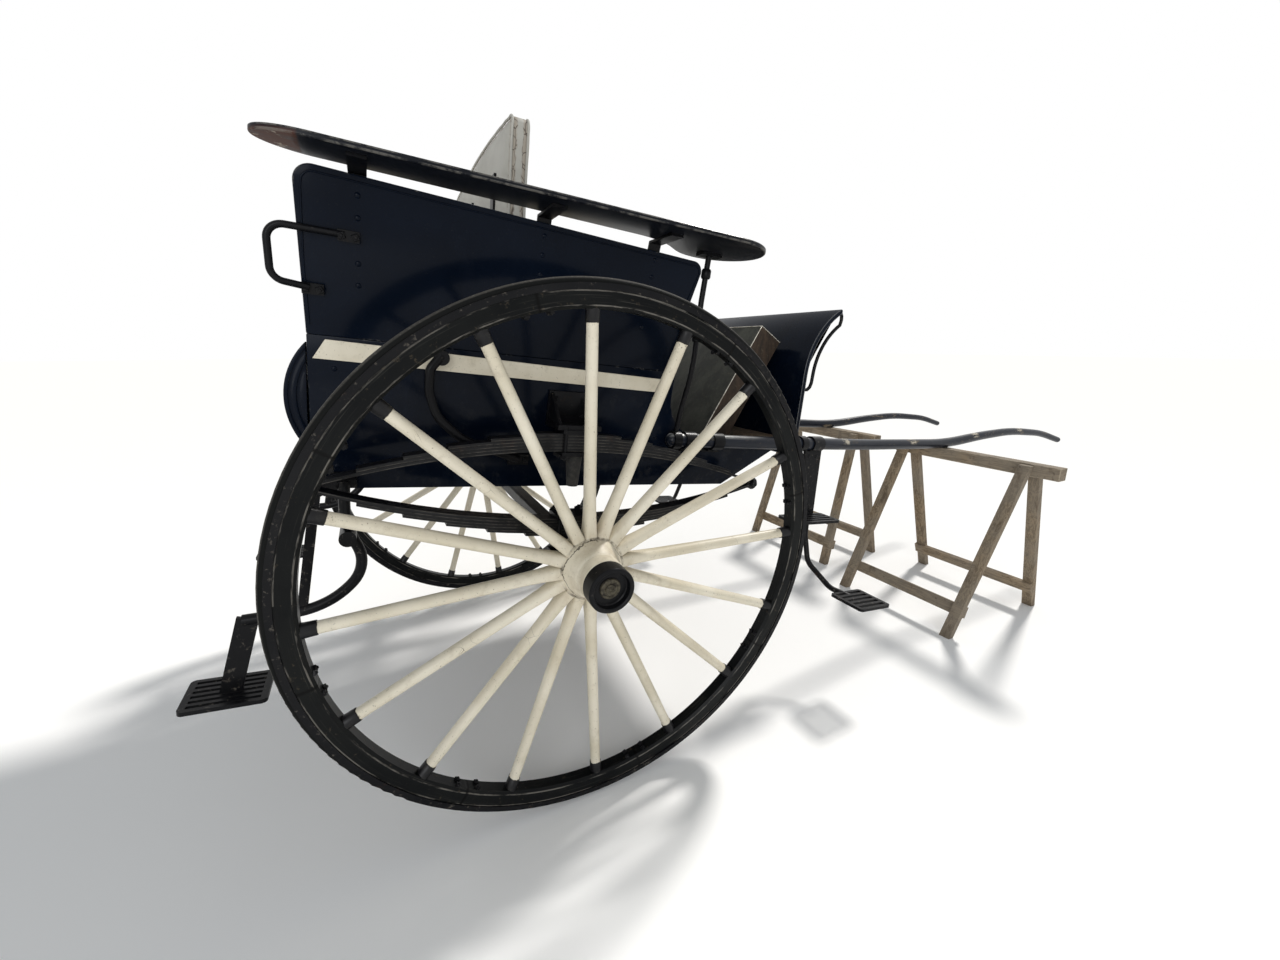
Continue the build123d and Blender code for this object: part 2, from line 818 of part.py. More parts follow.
def dash_lines(offset):
    """Side view of the dash at an offset in front of its rear face: upright, then curled forward."""
    r = dash_radius - offset
    x = dash_x + dash_radius
    mid = radians(180 - dash_sweep / 2)
    end = radians(180 - dash_sweep)
    start = (x - r, dash_bend_z)
    middle = (x + r * cos(mid), dash_bend_z + r * sin(mid))
    tip = (x + r * cos(end), dash_bend_z + r * sin(end))
    return [Line((x - r, dash_foot_z), start), ThreePointArc(start, middle, tip)]


def dash_face(low, high):
    a = dash_lines(low)
    b = dash_lines(high)
    return make_face([*a, *b, Line(a[0] @ 0, b[0] @ 0), Line(a[1] @ 1, b[1] @ 1)])


def dash():
    """Curled splash board with a deeper post at each end."""
    board = extrude(Plane.XZ * dash_face(0, dash_depth), dash_half - 1, both=True)
    post = extrude(Plane.XZ * dash_face(0, dash_post), dash_post_wide)
    post = Pos(0, -dash_half + dash_post_wide, 0) * post
    return board + post + left_of(post)


def dash_irons():
    """Curved irons in front of the dash's ends, from a boss on each post's tip to one on its front."""
    y = dash_half - dash_post_wide / 2
    end = radians(180 - dash_sweep)
    r = dash_radius - dash_post / 2
    tip = Vector(dash_x + dash_radius + r * cos(end), -y, dash_bend_z + r * sin(end))
    way = Vector(sin(end), 0, -cos(end))
    front = Vector(dash_x + dash_post, -y, dash_iron_foot_z)
    ahead = Vector(1, 0, 0)
    bosses = []
    for place, out in ((tip, way), (front, ahead)):
        seat = Plane(origin=place + out * fit_gap, x_dir=(0, 1, 0), z_dir=out)
        bosses.append(seat * upright(dash_boss_radius, dash_boss_length))
    start = tip + way * (dash_boss_length * 0.66)
    finish = front + ahead * (dash_boss_length * 0.45) + Vector(0, 0, 2)
    high = [(tip.X + x, -y, tip.Z + z) for x, z in dash_iron_high_run]
    low = [(front.X + x, -y, front.Z + z) for x, z in dash_iron_low_run]
    run = [tuple(start), *high, *low, tuple(finish)]
    return both(rod(run, dash_iron_bends, dash_iron_radius) + bosses[0] + bosses[1])


def dash_rear_x(z):
    return dash_x + dash_radius - sqrt(dash_radius ** 2 - (z - dash_bend_z) ** 2)


def foot_rest():
    """Closed inclined box on the toe board, blocked off the dash."""
    lean = radians(rest_lean)
    x, z = rest_corner
    face = Plane(origin=(x, 0, z), x_dir=(0, 1, 0), z_dir=(-sin(lean), 0, cos(lean)))
    box = extrude(face * Pos(0, rest_length / 2) * Rectangle(2 * rest_half, rest_length), -rest_depth)
    front = x + rest_depth * sin(lean)
    outline = [(front - 26, rest_block_z[0]), (front - 6, rest_block_z[1])]
    outline += [(dash_rear_x(z) - rest_gap, z) for z in reversed(rest_block_z)]
    blocks = side_view(outline, rest_block_wide / 2)
    for side in (-1, 1):
        box = box + Pos(0, side * rest_block_y, 0) * blocks
    return box


# Shafts and the splinter bar

def run_length(p, q):
    return sqrt(sum((b - a) ** 2 for a, b in zip(p, q)))


def shaft_bends(points):
    """Bend radii that take up most of the shorter run at each inner point."""
    bends = []
    for p, q, r in zip(points, points[1:], points[2:]):
        a = (Vector(*q) - Vector(*p)).normalized()
        b = (Vector(*r) - Vector(*q)).normalized()
        half_turn = radians(a.get_angle(b)) / 2
        bends.append(min(0.42 * min(run_length(p, q), run_length(q, r)) / tan(half_turn), 4000))
    return bends


def shaft_paths():
    """Centre line of the right-hand shaft: its even rear part and its tapering front part."""
    points = right(shaft_points)
    bends = shaft_bends(points)
    k = shaft_even_count
    split = tuple((a + b) / 2 for a, b in zip(points[k], points[k + 1]))
    rear = FilletPolyline(*points[:k + 1], split, radius=bends[:k])
    front = FilletPolyline(split, *points[k + 1:], radius=bends[k:])
    return rear, front


def disc(path, place, radius):
    return Plane(origin=path @ place, z_dir=path % place) * Circle(radius)


shaft_rear, shaft_front = shaft_paths()
shaft_space = sweep(disc(shaft_rear, 0, shaft_radius + fit_gap), path=shaft_rear)
shaft_space = shaft_space + Pos(*right(shaft_points)[0]) * Sphere(shaft_radius + fit_gap)


def shaft():
    """Bent shaft with rounded ends, thinner towards its tip."""
    body = sweep(disc(shaft_rear, 0, shaft_radius), path=shaft_rear)
    ends = [disc(shaft_front, 0, shaft_radius), disc(shaft_front, 1, shaft_tip_radius)]
    tip = sweep(ends, path=shaft_front, multisection=True)
    butt = Pos(*right(shaft_points)[0]) * Sphere(shaft_radius)
    return body + tip + butt + Pos(*right(shaft_points)[-1]) * Sphere(shaft_tip_radius)


def shaft_at(x):
    """The shaft's half spacing, height and turn in plan, on its straight run at x."""
    for p, q in zip(shaft_points, shaft_points[1:]):
        if x <= q[0]:
            t = (x - p[0]) / (q[0] - p[0])
            return p[1] + t * (q[1] - p[1]), p[2] + t * (q[2] - p[2]), atan2(p[1] - q[1], q[0] - p[0])


def band_at(x, width):
    """An iron band around the right-hand shaft, still without its hole."""
    y, z, turn = shaft_at(x)
    place = Pos(x, -y, z) * Rot(0, 0, degrees(turn)) * Rot(0, 90, 0)
    return place * Cylinder(shaft_radius + band_wall, width)


bar_half = shaft_at(bar_x[1])[0] - shaft_radius - band_wall - bar_end_gap
dash_half = bar_half - dash_inset


def shaft_irons():
    """Iron seats that bolt each shaft to the foot well's side and to the splinter bar."""
    pieces = []
    long, wide, deep = shaft_seat
    for x in shaft_seat_x:
        y, z, _ = shaft_at(x)
        high = shaft_seat_z + 4
        web = block((x - 18, x + 18), (-y + 10, -outer_y(shaft_seat_z) - 1), (high - 22, high))
        seat = on_side(x, shaft_seat_z, shaft_seat)
        pieces.append(off_side(seat + web + band_at(x, band_wide) - shaft_space))
    middle = (bar_x[0] + bar_x[1]) / 2
    along = (middle - bar_band_wide / 2, middle + bar_band_wide / 2)
    low = bar_z[0] - fit_gap - bar_strap_depth
    out = -bar_half - bar_strap_depth - 8
    under = block(along, (out, -bar_half + bar_strap_reach), (low, low + bar_strap_depth))
    riser = block(along, (out, -bar_half - bar_end_gap), (low, bar_z[1] - 4))
    band = band_at(middle, bar_band_wide)
    clear = block((-beyond, beyond), (-bar_half - bar_end_gap + 0.2, 0), (bar_z[0] - fit_gap, beyond))
    pieces.append(under + riser + (band - clear) - shaft_space)
    return both(group(*pieces))


def splinter_bar():
    """Bar in front of the toe board that ties the shafts, with an eye plate for each trace."""
    bar = block(bar_x, (-bar_half, bar_half), bar_z)
    bar = chamfer(bar.edges().filter_by(Axis.Y), 4)
    for side in (-1, 1):
        eye = Pos(bar_x[1] + trace_eye - 6, side * trace_y, (bar_z[0] + bar_z[1]) / 2)
        bar = bar + eye * Cylinder(trace_eye, trace_depth) - eye * Cylinder(trace_hole, 3 * trace_depth)
    return bar


# Steps

def tread(size, bars):
    """A slotted step plate, its slots along x."""
    length, width = size
    plate = fillet(Box(length, width, tread_depth).edges().filter_by(Axis.Z), tread_corner)
    pitch = (width - tread_rim) / bars
    for k in range(bars):
        y = (tread_rim - width) / 2 + pitch * (k + 0.5)
        plate = plate - Pos(0, y, 0) * Box(length - 2 * tread_rim, pitch * 0.5, 3 * tread_depth)
    return plate


def front_steps():
    """Tapered plate under each shaft with an upper tread, and a curved iron out to the lower tread."""
    y_low, y_high = front_plate_y
    face = Plane.XZ * make_face(Polyline(*front_plate, close=True))
    plate = Pos(0, -y_low, 0) * extrude(face, y_high - y_low)
    step = plate + band_at(front_step_x, front_band_wide) - shaft_space
    x, y, z = high_tread
    step = step + Pos(x, -y, z) * tread(high_tread_size, high_tread_bars)
    step = step + block(front_lug_x, (-y_high - 12, -y_low), (z - tread_depth / 2, z + tread_depth / 2))
    step = step + rod(right(front_rod), front_rod_bends, front_rod_radius)
    x, y, z = low_tread
    return both(step + Pos(x, -y, z) * tread(low_tread_size, low_tread_bars))


def rear_steps():
    """Curved iron and flat strap below each rear corner, joined and run out to the tread."""
    iron = rod([(x, -rear_y, z) for x, z in rear_rod], rear_rod_bends, rear_rod_radius)
    x = rear_rod[0][0]
    head = on_side(x, rear_rod[0][1] - 2, rear_head)
    web = block((x - 27, x + 27), (-rear_y - 4, -outer_y(rear_web_z[1]) - 5), rear_web_z)
    strap = flat_bar(rear_strap, rear_strap_size, -rear_y)
    x, z = rear_tread
    plate = flat_bar([rear_plate_top, (x + 4, z)], rear_plate_size, -rear_y)
    foot = Pos(x, -rear_y, z) * tread(rear_tread_size, rear_tread_bars)
    x, z = rear_knuckle
    barrel = Plane(origin=(x, -rear_y - rear_knuckle_half, z), z_dir=(0, 1, 0))
    knuckle = barrel * upright(rear_knuckle_radius, 2 * rear_knuckle_half)
    return both(iron + head + web + strap + plate + foot + knuckle)


# Trestles

def slant(p, q, wide, deep):
    """A straight board between two points, its width across the cart."""
    v = Vector(*q) - Vector(*p)
    out = Vector(1, 0, 0) if v.X > 0 else Vector(-1, 0, 0)
    side = v.cross(out).normalized()
    plane = Plane(origin=p, x_dir=side, z_dir=v.normalized())
    return extrude(plane * Rectangle(wide, deep), v.length)


def trestle_parts(trestle, top, ground):
    """One trestle: its beam, and a pair of legs with a stretcher on each side of it."""
    half = beam_wide / 2
    beam_y = trestle["beam"]
    beam = block((trestle_x - half, trestle_x + half), beam_y, (top - beam_deep, top))
    beam_room = (trestle_x - half - beam_gap, trestle_x + half + beam_gap)
    room = block(beam_room, (-beyond, beyond), (top - beam_deep - beam_gap, top + beam_deep))
    below = block((0, beyond), (-beyond, beyond), (ground - beyond, ground))
    above = block((0, beyond), (-beyond, beyond), (top - leg_top_gap, top + beyond))
    spread = trestle["spread"]
    lean = (spread - half - 10) / (top - ground)
    frames = []
    for side in (-1, 1):
        frame = None
        rail_ends = []
        for y_top, y_foot in zip(trestle["tops"], trestle["feet"]):
            head = Vector(trestle_x + side * (half + 10), y_top, top)
            foot = Vector(trestle_x + side * spread, y_foot, ground)
            reach = (foot - head).normalized() * 60
            leg = slant(head - reach, foot + reach, leg_wide, leg_deep) - room - below - above
            frame = leg if frame is None else frame + leg
            down = (top - ground - stretcher_up) / (top - ground)
            rail_ends.append((head + (foot - head) * down).Y)
        inset = spread - lean * stretcher_up - leg_deep / 2 - stretcher_wide / 2 + 3
        low = min(rail_ends) - leg_wide / 2
        high = max(rail_ends) + leg_wide / 2
        place = Pos(trestle_x + side * inset, (low + high) / 2, ground + stretcher_up)
        lie = Rot(0, -side * degrees(atan2(lean, 1)), 0)
        rail = place * lie * Box(stretcher_wide, high - low, stretcher_deep)
        frames.append(frame + rail)
    return beam, frames


def build():
    parts = {}
    wheel = {"hub": hub(), "cap": hub_cap(), "felloe": felloe(), "rim": rim(), "tyre": tyre()}
    for name, shape in wheel.items():
        parts[f"{name}_right"] = wheel_plane.location * Rot(0, 0, spoke_turn_right) * shape
        parts[f"{name}_left"] = left_of(wheel_plane.location * Rot(0, 0, spoke_turn_left) * shape)
    pairs = {"side_lower": side_lower(), "side_upper": side_upper(), "wing": wing(), "shaft": shaft()}
    for name, shape in pairs.items():
        parts[f"{name}_right"] = shape
        parts[f"{name}_left"] = left_of(shape)
    single = [
        axle, springs_upper, springs_lower, axle_clips, body_brackets, bump_stops, floor, cross_boards,
        seat_board, belt_rails, tailboard, tail_hinges, backrest, back_irons, wing_irons, grab_handles,
        body_stays, dash, dash_irons, foot_rest, shaft_irons, splinter_bar, front_steps, rear_steps,
    ]
    for make in single:
        parts[make.__name__] = make()
    parts["front_cushion"] = cushion(front_seat)
    parts["rear_cushion"] = cushion(rear_seat)
    parts = {name: Rot(0, nose_down, 0) * shape for name, shape in parts.items()}
    ground = parts["tyre_right"].bounding_box().min.Z
    over_beam = Pos(trestle_x, 0, 0) * Box(beam_wide, beyond, beyond)
    shaft_low = (parts["shaft_right"] & over_beam).bounding_box().min.Z
    beams = []
    frames = []
    for trestle in trestles:
        beam, legs = trestle_parts(trestle, shaft_low - beam_gap, ground)
        beams.append(beam)
        frames += legs
    parts["trestle_beams"] = group(*beams)
    parts["trestle_frames"] = group(*frames)
    low = min(shape.bounding_box().min.X for shape in parts.values())
    high = max(shape.bounding_box().max.X for shape in parts.values())
    middle = (low + high) / 2
    print("moved by", round(-middle, 3), round(-ground, 3), "beam top", round(shaft_low - ground, 1))
    return {name: Pos(-middle, 0, -ground) * shape for name, shape in parts.items()}


os.makedirs("parts", exist_ok=True)
for name, shape in build().items():
    export_step(shape, f"parts/{name}.step")
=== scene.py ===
import bmesh
import bpy
import json
import math
from mathutils import Matrix, Vector, kdtree, noise

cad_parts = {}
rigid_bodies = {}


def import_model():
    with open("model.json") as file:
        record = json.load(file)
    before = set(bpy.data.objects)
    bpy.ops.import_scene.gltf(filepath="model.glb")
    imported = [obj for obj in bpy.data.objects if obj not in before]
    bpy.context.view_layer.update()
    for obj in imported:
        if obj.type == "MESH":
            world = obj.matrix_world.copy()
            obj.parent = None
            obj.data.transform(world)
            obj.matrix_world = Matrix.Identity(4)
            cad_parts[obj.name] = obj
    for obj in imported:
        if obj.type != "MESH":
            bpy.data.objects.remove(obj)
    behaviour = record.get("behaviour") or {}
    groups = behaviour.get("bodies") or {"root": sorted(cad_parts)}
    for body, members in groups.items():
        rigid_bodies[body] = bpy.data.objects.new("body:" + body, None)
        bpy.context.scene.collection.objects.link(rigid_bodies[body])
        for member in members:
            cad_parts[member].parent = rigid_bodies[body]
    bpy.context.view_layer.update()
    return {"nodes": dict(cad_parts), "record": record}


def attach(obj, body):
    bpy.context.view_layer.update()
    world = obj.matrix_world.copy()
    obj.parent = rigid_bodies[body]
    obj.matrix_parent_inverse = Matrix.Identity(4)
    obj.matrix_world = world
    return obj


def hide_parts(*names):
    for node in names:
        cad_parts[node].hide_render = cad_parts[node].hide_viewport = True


# A dog cart on two wooden trestles. Metres, in the CAD's frame. Places on the cart are written level,
# in millimetres from the middle of the axle, and onCart() tips them nose down as the cart stands.

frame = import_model()
nodes = frame["nodes"]
scene = bpy.context.scene
print("frame loaded:", len(nodes), "nodes")

# Angles in degrees. The shift is in metres, and turned is how far each wheel has rolled. -1 is the right side
# and 1 the left, here and below.
stance = {"noseDown": 6.5, "shift": (-1.041764, 0, 0.679556), "camber": 2.9, "wheelY": 759,
          "turned": {-1: 6.5, 1: -11}}
nose = math.radians(stance["noseDown"])
camber = math.radians(stance["camber"])
cartMatrix = Matrix.Translation(stance["shift"]) @ Matrix.Rotation(nose, 4, "Y")
levelMatrix = cartMatrix.inverted()


def onCart(x, y, z):
    return cartMatrix @ (Vector((x, y, z)) / 1000)


def wayOnCart(x, y, z):
    return (cartMatrix.to_3x3() @ Vector((x, y, z))).normalized()


def wheelMatrix(side):  # z points out of the wheel, along its cambered arm
    x = Vector((-side, 0, 0))
    y = Vector((0, side * math.sin(camber), math.cos(camber)))
    z = Vector((0, side * math.cos(camber), -math.sin(camber)))
    middle = Vector((0, side * stance["wheelY"] / 1000, 0))
    return cartMatrix @ Matrix.Translation(middle) @ Matrix((x, y, z)).transposed().to_4x4()


# camera

view = {"place": (-1.479804, -1.86874, 1.22091), "turn": (75.4076, 0.1302, -27.0316), "lens": 14.6212,
        "sensor": 36, "reach": 200}
cameraData = bpy.data.cameras.new("camera")
cameraData.lens = view["lens"]
cameraData.sensor_width = view["sensor"]
cameraData.clip_end = view["reach"]
camera = bpy.data.objects.new("camera", cameraData)
camera.location = view["place"]
camera.rotation_euler = [math.radians(a) for a in view["turn"]]
scene.collection.objects.link(camera)
scene.camera = camera
scene.view_settings.view_transform = "Standard"


def srgb(r, g, b):  # 0-255 as seen, to linear
    def linear(c):
        c /= 255
        return c / 12.92 if c <= 0.04045 else ((c + 0.055) / 1.055) ** 2.4
    return (linear(r), linear(g), linear(b), 1)


class Term:  # one socket, so that shader sums are written as sums
    def __init__(self, net, socket):
        self.net = net
        self.socket = socket

    def maths(self, operation, other=0.0, swapped=False):
        first, second = (other, self) if swapped else (self, other)
        return self.net.node("ShaderNodeMath", {"operation": operation}, {0: first, 1: second})

    def __add__(self, other):
        return self.maths("ADD", other)

    def __radd__(self, other):
        return self.maths("ADD", other, True)

    def __sub__(self, other):
        return self.maths("SUBTRACT", other)

    def __rsub__(self, other):
        return self.maths("SUBTRACT", other, True)

    def __mul__(self, other):
        return self.maths("MULTIPLY", other)

    def __rmul__(self, other):
        return self.maths("MULTIPLY", other, True)

    def __truediv__(self, other):
        return self.maths("DIVIDE", other)

    def __pow__(self, other):
        return self.maths("POWER", other)

    def band(self, low, high):  # 0 below low, 1 above high
        values = {0: self, 1: low, 2: high, 3: 0.0, 4: 1.0}
        return self.net.node("ShaderNodeMapRange", {"interpolation_type": "SMOOTHSTEP"}, values)

    def away(self, value, low, high):  # 0 within low of a value, 1 beyond high
        return (self - value).maths("ABSOLUTE").band(low, high)

    def near(self, value, low, high):  # the other way round
        return 1 - self.away(value, low, high)


class Net:  # a node tree, built one node at a time
    def __init__(self, tree):
        self.tree = tree

    def node(self, kind, settings=None, values=None, out=0):
        made = self.tree.nodes.new(kind)
        for name, value in (settings or {}).items():
            setattr(made, name, value)
        for key, value in (values or {}).items():
            if isinstance(value, Term):
                self.tree.links.new(value.socket, made.inputs[key])
            else:
                made.inputs[key].default_value = value
        return Term(self, made.outputs[out])


class Finish(Net):  # one material; fixed values go on the shader's own sockets
    def __init__(self, name, fixed):
        self.material = bpy.data.materials.new(name)
        self.material.use_nodes = True
        super().__init__(self.material.node_tree)
        self.shader = self.tree.nodes["Principled BSDF"]
        self.place = self.node("ShaderNodeTexCoord", out="Object")
        for key, value in fixed.items():
            self.shader.inputs[key].default_value = value

    def part(self, axis, of=None):
        return self.node("ShaderNodeSeparateXYZ", values={0: of or self.place}, out=axis)

    def joined(self, x, y, z):
        return self.node("ShaderNodeCombineXYZ", values={0: x, 1: y, 2: z})

    def level(self):  # coordinates on the cart before it was tipped, from the middle of the axle
        values = {"Vector": self.place, "Rotation": (0, -nose, 0), "Location": levelMatrix.to_translation()}
        return self.node("ShaderNodeMapping", {"vector_type": "POINT"}, values)

    def facing(self, axis):
        return self.part(axis, self.node("ShaderNodeNewGeometry", out="Normal"))

    def stretch(self, sizes, of=None):
        return self.node("ShaderNodeVectorMath", {"operation": "MULTIPLY"}, {0: of or self.place, 1: sizes})

    def dot(self, way, of):
        return self.node("ShaderNodeVectorMath", {"operation": "DOT_PRODUCT"}, {0: of, 1: way}, out="Value")

    def noise(self, scale, detail=3.0, rough=0.55, of=None, twist=0.0):
        values = {"Vector": of or self.place, "Scale": scale, "Detail": detail, "Roughness": rough,
                  "Distortion": twist}
        return self.node("ShaderNodeTexNoise", {"noise_dimensions": "3D"}, values)

    def cracks(self, scale, of=None):  # distance to the nearest cell wall
        values = {"Vector": of or self.place, "Scale": scale}
        return self.node("ShaderNodeTexVoronoi", {"feature": "DISTANCE_TO_EDGE"}, values)

    def stored(self, name):
        return self.node("ShaderNodeAttribute", {"attribute_name": name}, out="Fac")

    def wheelPlaces(self):  # distance from the axle's line, angle round it, and place along it, either wheel
        x = self.part("X") - stance["shift"][0]
        y = self.part("Y").maths("ABSOLUTE") - stance["wheelY"] / 1000
        z = self.part("Z") - stance["shift"][2]
        place = self.joined(x, y, z)
        sine, cosine = math.sin(camber), math.cos(camber)
        out = self.dot((-sine * math.sin(nose), cosine, -sine * math.cos(nose)), place)
        ahead = self.dot((math.cos(nose), 0, -math.sin(nose)), place)
        up = self.dot((cosine * math.sin(nose), sine, cosine * math.cos(nose)), place)
        return (ahead * ahead + up * up) ** 0.5, up.maths("ARCTAN2", ahead), out

    def mix(self, factor, a, b):
        return self.node("ShaderNodeMix", {"data_type": "RGBA"}, {0: factor, 6: a, 7: b}, out=2)

    def layers(self, colour, *above):  # each layer above is (how much of it shows, its colour)
        for amount, layer in above:
            colour = self.mix(amount, colour, layer)
        return colour

    def surface(self, colour, rough, height, strength, reach, more=None):
        bumps = {"Strength": strength, "Distance": reach, "Height": height}
        relief = self.node("ShaderNodeBump", values=bumps)
        varied = {"Base Color": colour, "Roughness": rough, "Normal": relief, **(more or {})}
        for key, value in varied.items():
            self.tree.links.new(value.socket, self.shader.inputs[key])
        return self.material


# floor and light: white where the eye, a reflection or glass looks, and soft on the cart

room = {"ground": 120, "floor": 0.95, "sky": 0.42, "skyTone": (0.94, 0.97, 1.0, 1),
        "sun": 2.8, "sunFrom": (0.614, 0.252, 0.748), "sunWidth": 7,
        "fill": 110, "fillFrom": (-3.4, -5.4, 2.6), "fillSize": 3.5}
world = bpy.data.worlds.new("studio")
world.use_nodes = True
scene.world = world
worldNet = Net(world.node_tree)
looks = [worldNet.node("ShaderNodeLightPath", out=name)
         for name in ("Is Camera Ray", "Is Glossy Ray", "Is Transmission Ray")]
seen = (looks[0] + looks[1] + looks[2]).maths("MINIMUM", 1.0)
sky = world.node_tree.nodes["Background"]
sky.inputs["Color"].default_value = room["skyTone"]
sky.inputs["Strength"].default_value = room["sky"]
plain = worldNet.node("ShaderNodeBackground", values={"Color": (1, 1, 1, 1), "Strength": 1.0})
mixed = worldNet.node("ShaderNodeMixShader", values={0: seen, 1: Term(worldNet, sky.outputs[0]), 2: plain})
world.node_tree.links.new(mixed.socket, world.node_tree.nodes["World Output"].inputs["Surface"])

floorMesh = bpy.data.meshes.new("floor")
half, pale = room["ground"] / 2, room["floor"]
corners = [(-half, -half, 0), (half, -half, 0), (half, half, 0), (-half, half, 0)]
floorMesh.from_pydata(corners, [], [(0, 1, 2, 3)])
floor = bpy.data.objects.new("floor", floorMesh)
scene.collection.objects.link(floor)
floorTone = {"Roughness": 0.95, "Specular IOR Level": 0.0, "Base Color": (pale, pale, pale * 0.99, 1)}
floorMesh.materials.append(Finish("paleFloor", floorTone).material)


def lamp(name, kind, toward, settings):
    data = bpy.data.lights.new(name, kind)
    for key, value in settings.items():
        setattr(data, key, value)
    made = bpy.data.objects.new(name, data)
    made.location = Vector(toward)
    made.rotation_euler = Vector(toward).to_track_quat("Z", "Y").to_euler()
    scene.collection.objects.link(made)


lamp("key", "SUN", room["sunFrom"],
     {"energy": room["sun"], "angle": math.radians(room["sunWidth"]), "color": (1.0, 0.97, 0.93)})
lamp("fill", "AREA", room["fillFrom"],
     {"energy": room["fill"], "size": room["fillSize"], "shape": "DISK", "color": (0.96, 0.98, 1.0)})
print("camera, floor and light set")

# finishes

# the springs' bows: radius, leaf thickness, and the top of the upper bow and foot of the lower at the middle
bow = {"radius": 2068.28, "leaf": 8, "upper": 267.14, "lower": 83.14}


def coachPaint(name="coachPaint", specular=0.035, shine=0.09):
    f = Finish(name, {"Coat Roughness": 0.12, "Specular IOR Level": specular})
    clouds = f.noise(2.6, 4).band(0.35, 0.7)
    rub = f.noise(9, 5, 0.65, f.stretch((1, 1, 0.35))).band(0.56, 0.78)
    specks = f.noise(330, 2, 0.5).band(0.66, 0.74)
    dirt = f.noise(26, 5, 0.7).band(0.5, 0.8) * (1 - f.part("Z").band(0.75, 1.25))
    # pale flecks on the eased arrises: partly worn paint, partly painted highlight along the edges
    edge = f.stored("edge") * f.noise(31, 5, 0.75).band(0.54, 0.70)
    grain = f.noise(14, 4, 0.6, f.stretch((1, 9, 9), f.level()))
    colour = f.layers(f.mix(clouds, (0.0012, 0.0030, 0.0076, 1), (0.0025, 0.0055, 0.0130, 1)),
                      (rub * 0.5, (0.012, 0.016, 0.027, 1)),
                      (dirt * 0.35 + specks * 0.15, (0.055, 0.052, 0.047, 1)),
                      (edge * 0.5, (0.16, 0.155, 0.14, 1)))
    rough = 0.22 + clouds * 0.10 + rub * 0.12 + dirt * 0.25 + edge * 0.2
    coat = {"Coat Weight": shine - rub * (shine / 2)}
    return f.surface(colour, rough, grain * 0.5 + specks * 0.4, 0.10, 0.0008, coat)


def felloePaint():
    f = Finish("felloePaint", {"Coat Weight": 0.05, "Coat Roughness": 0.2, "Specular IOR Level": 0.06})
    radius, angle, out = f.wheelPlaces()
    side = f.part("Y").maths("SIGN")
    right, left = stance["turned"][-1], -stance["turned"][1]
    turn = angle / (math.pi / 4) + (7.75 - (left + right) / 90) - side * ((left - right) / 90)
    joint = turn.maths("FRACT").away(0.5, 0.488, 0.4985)  # where two of the eight felloes meet
    streaks = f.noise(1.4, 4, 0.6, f.joined(angle * 2.2, radius * 260, out * 180)).band(0.58, 0.74)
    edge = radius.band(0.646, 0.653)
    chips = f.noise(60, 4, 0.7).band(0.61, 0.70)
    wearAndHighlight = f.noise(2.6, 4, 0.7, f.joined(angle * 3, radius * 40, side)).band(0.44, 0.60)
    # two pale lines along the felloe's arrises: partly rubbed paint, partly painted highlight on the edges
    arris = radius.near(0.6228, 0.0008, 0.0020) + radius.near(0.6525, 0.0008, 0.0020)
    clouds = f.noise(7).band(0.3, 0.7)
    colour = f.layers(f.mix(clouds, (0.0024, 0.0029, 0.0034, 1), (0.0060, 0.0067, 0.0066, 1)),
                      (streaks * (0.22 + edge * 0.5), (0.16, 0.15, 0.13, 1)),
                      (chips * 0.3, (0.10, 0.078, 0.052, 1)),
                      (arris * wearAndHighlight * 0.55, (0.23, 0.215, 0.19, 1)),
                      (joint * 0.9, (0.001, 0.001, 0.001, 1)))
    return f.surface(colour, 0.34 + streaks * 0.3 + chips * 0.2, 1 - joint - chips * 0.3, 0.5, 0.0008)


def creamPaint(name, onWheel):
    f = Finish(name, {"Coat Weight": 0.06, "Coat Roughness": 0.25, "Specular IOR Level": 0.22})
    clouds = f.noise(6, 4).band(0.3, 0.75)
    grime = f.noise(34, 5, 0.7).band(0.52, 0.80)
    specks = f.noise(240, 2, 0.6).band(0.69, 0.72)
    cracks = (1 - f.cracks(34).band(0.004, 0.012)) * f.noise(8, 3).band(0.60, 0.72)
    colour = f.layers(f.mix(clouds, srgb(217, 210, 192), srgb(196, 187, 165)),
                      (grime * 0.40, srgb(150, 138, 116)), (specks * 0.75, srgb(88, 74, 56)))
    rough = 0.42 + grime * 0.25
    height = clouds * 0.3 - cracks * 0.7 - specks * 0.4
    if not onWheel:
        return f.surface(f.mix(cracks * 0.7, colour, srgb(60, 50, 38)), rough, height, 0.35, 0.0006)
    radius, angle, out = f.wheelPlaces()
    stain = (1 - radius.band(0.075, 0.16)) * f.noise(20, 4, 0.7, f.stretch((1, 1, 0.6))).band(0.38, 0.70)
    root = radius.near(0.081, 0.0015, 0.0045) * out.near(-0.035, 0.024, 0.034)  # dirt where a spoke enters
    root = root * f.noise(17, 4, 0.7).band(0.40, 0.62)
    wander = (f.noise(24, 4, 0.6) - 0.5) * 0.050
    split = (out + 0.004 + wander).near(0, 0.0009, 0.0022)  # an old crack round the hub
    split = split * (1 - radius.band(0.079, 0.081)) * f.noise(13, 3).band(0.40, 0.45)
    ends = (radius + f.noise(90, 3) * 0.005).band(0.5900, 0.5908)  # black ferrules
    drips = f.noise(150, 3, 0.7).band(0.62, 0.66) * radius.band(0.5, 0.585)
    dark = f.mix(f.noise(40).band(0.5, 0.8), (0.003, 0.003, 0.004, 1), (0.016, 0.015, 0.013, 1))
    colour = f.layers(colour, (stain * 0.35, srgb(146, 124, 92)),
                      ((cracks * 0.8 + root * 0.75 + split * 0.9).maths("MINIMUM", 1.0), srgb(46, 38, 30)),
                      ((ends + drips * 0.5).maths("MINIMUM", 1.0), dark))
    return f.surface(colour, rough * (1 - ends) + ends * 0.38, height - root - split, 0.35, 0.0006)


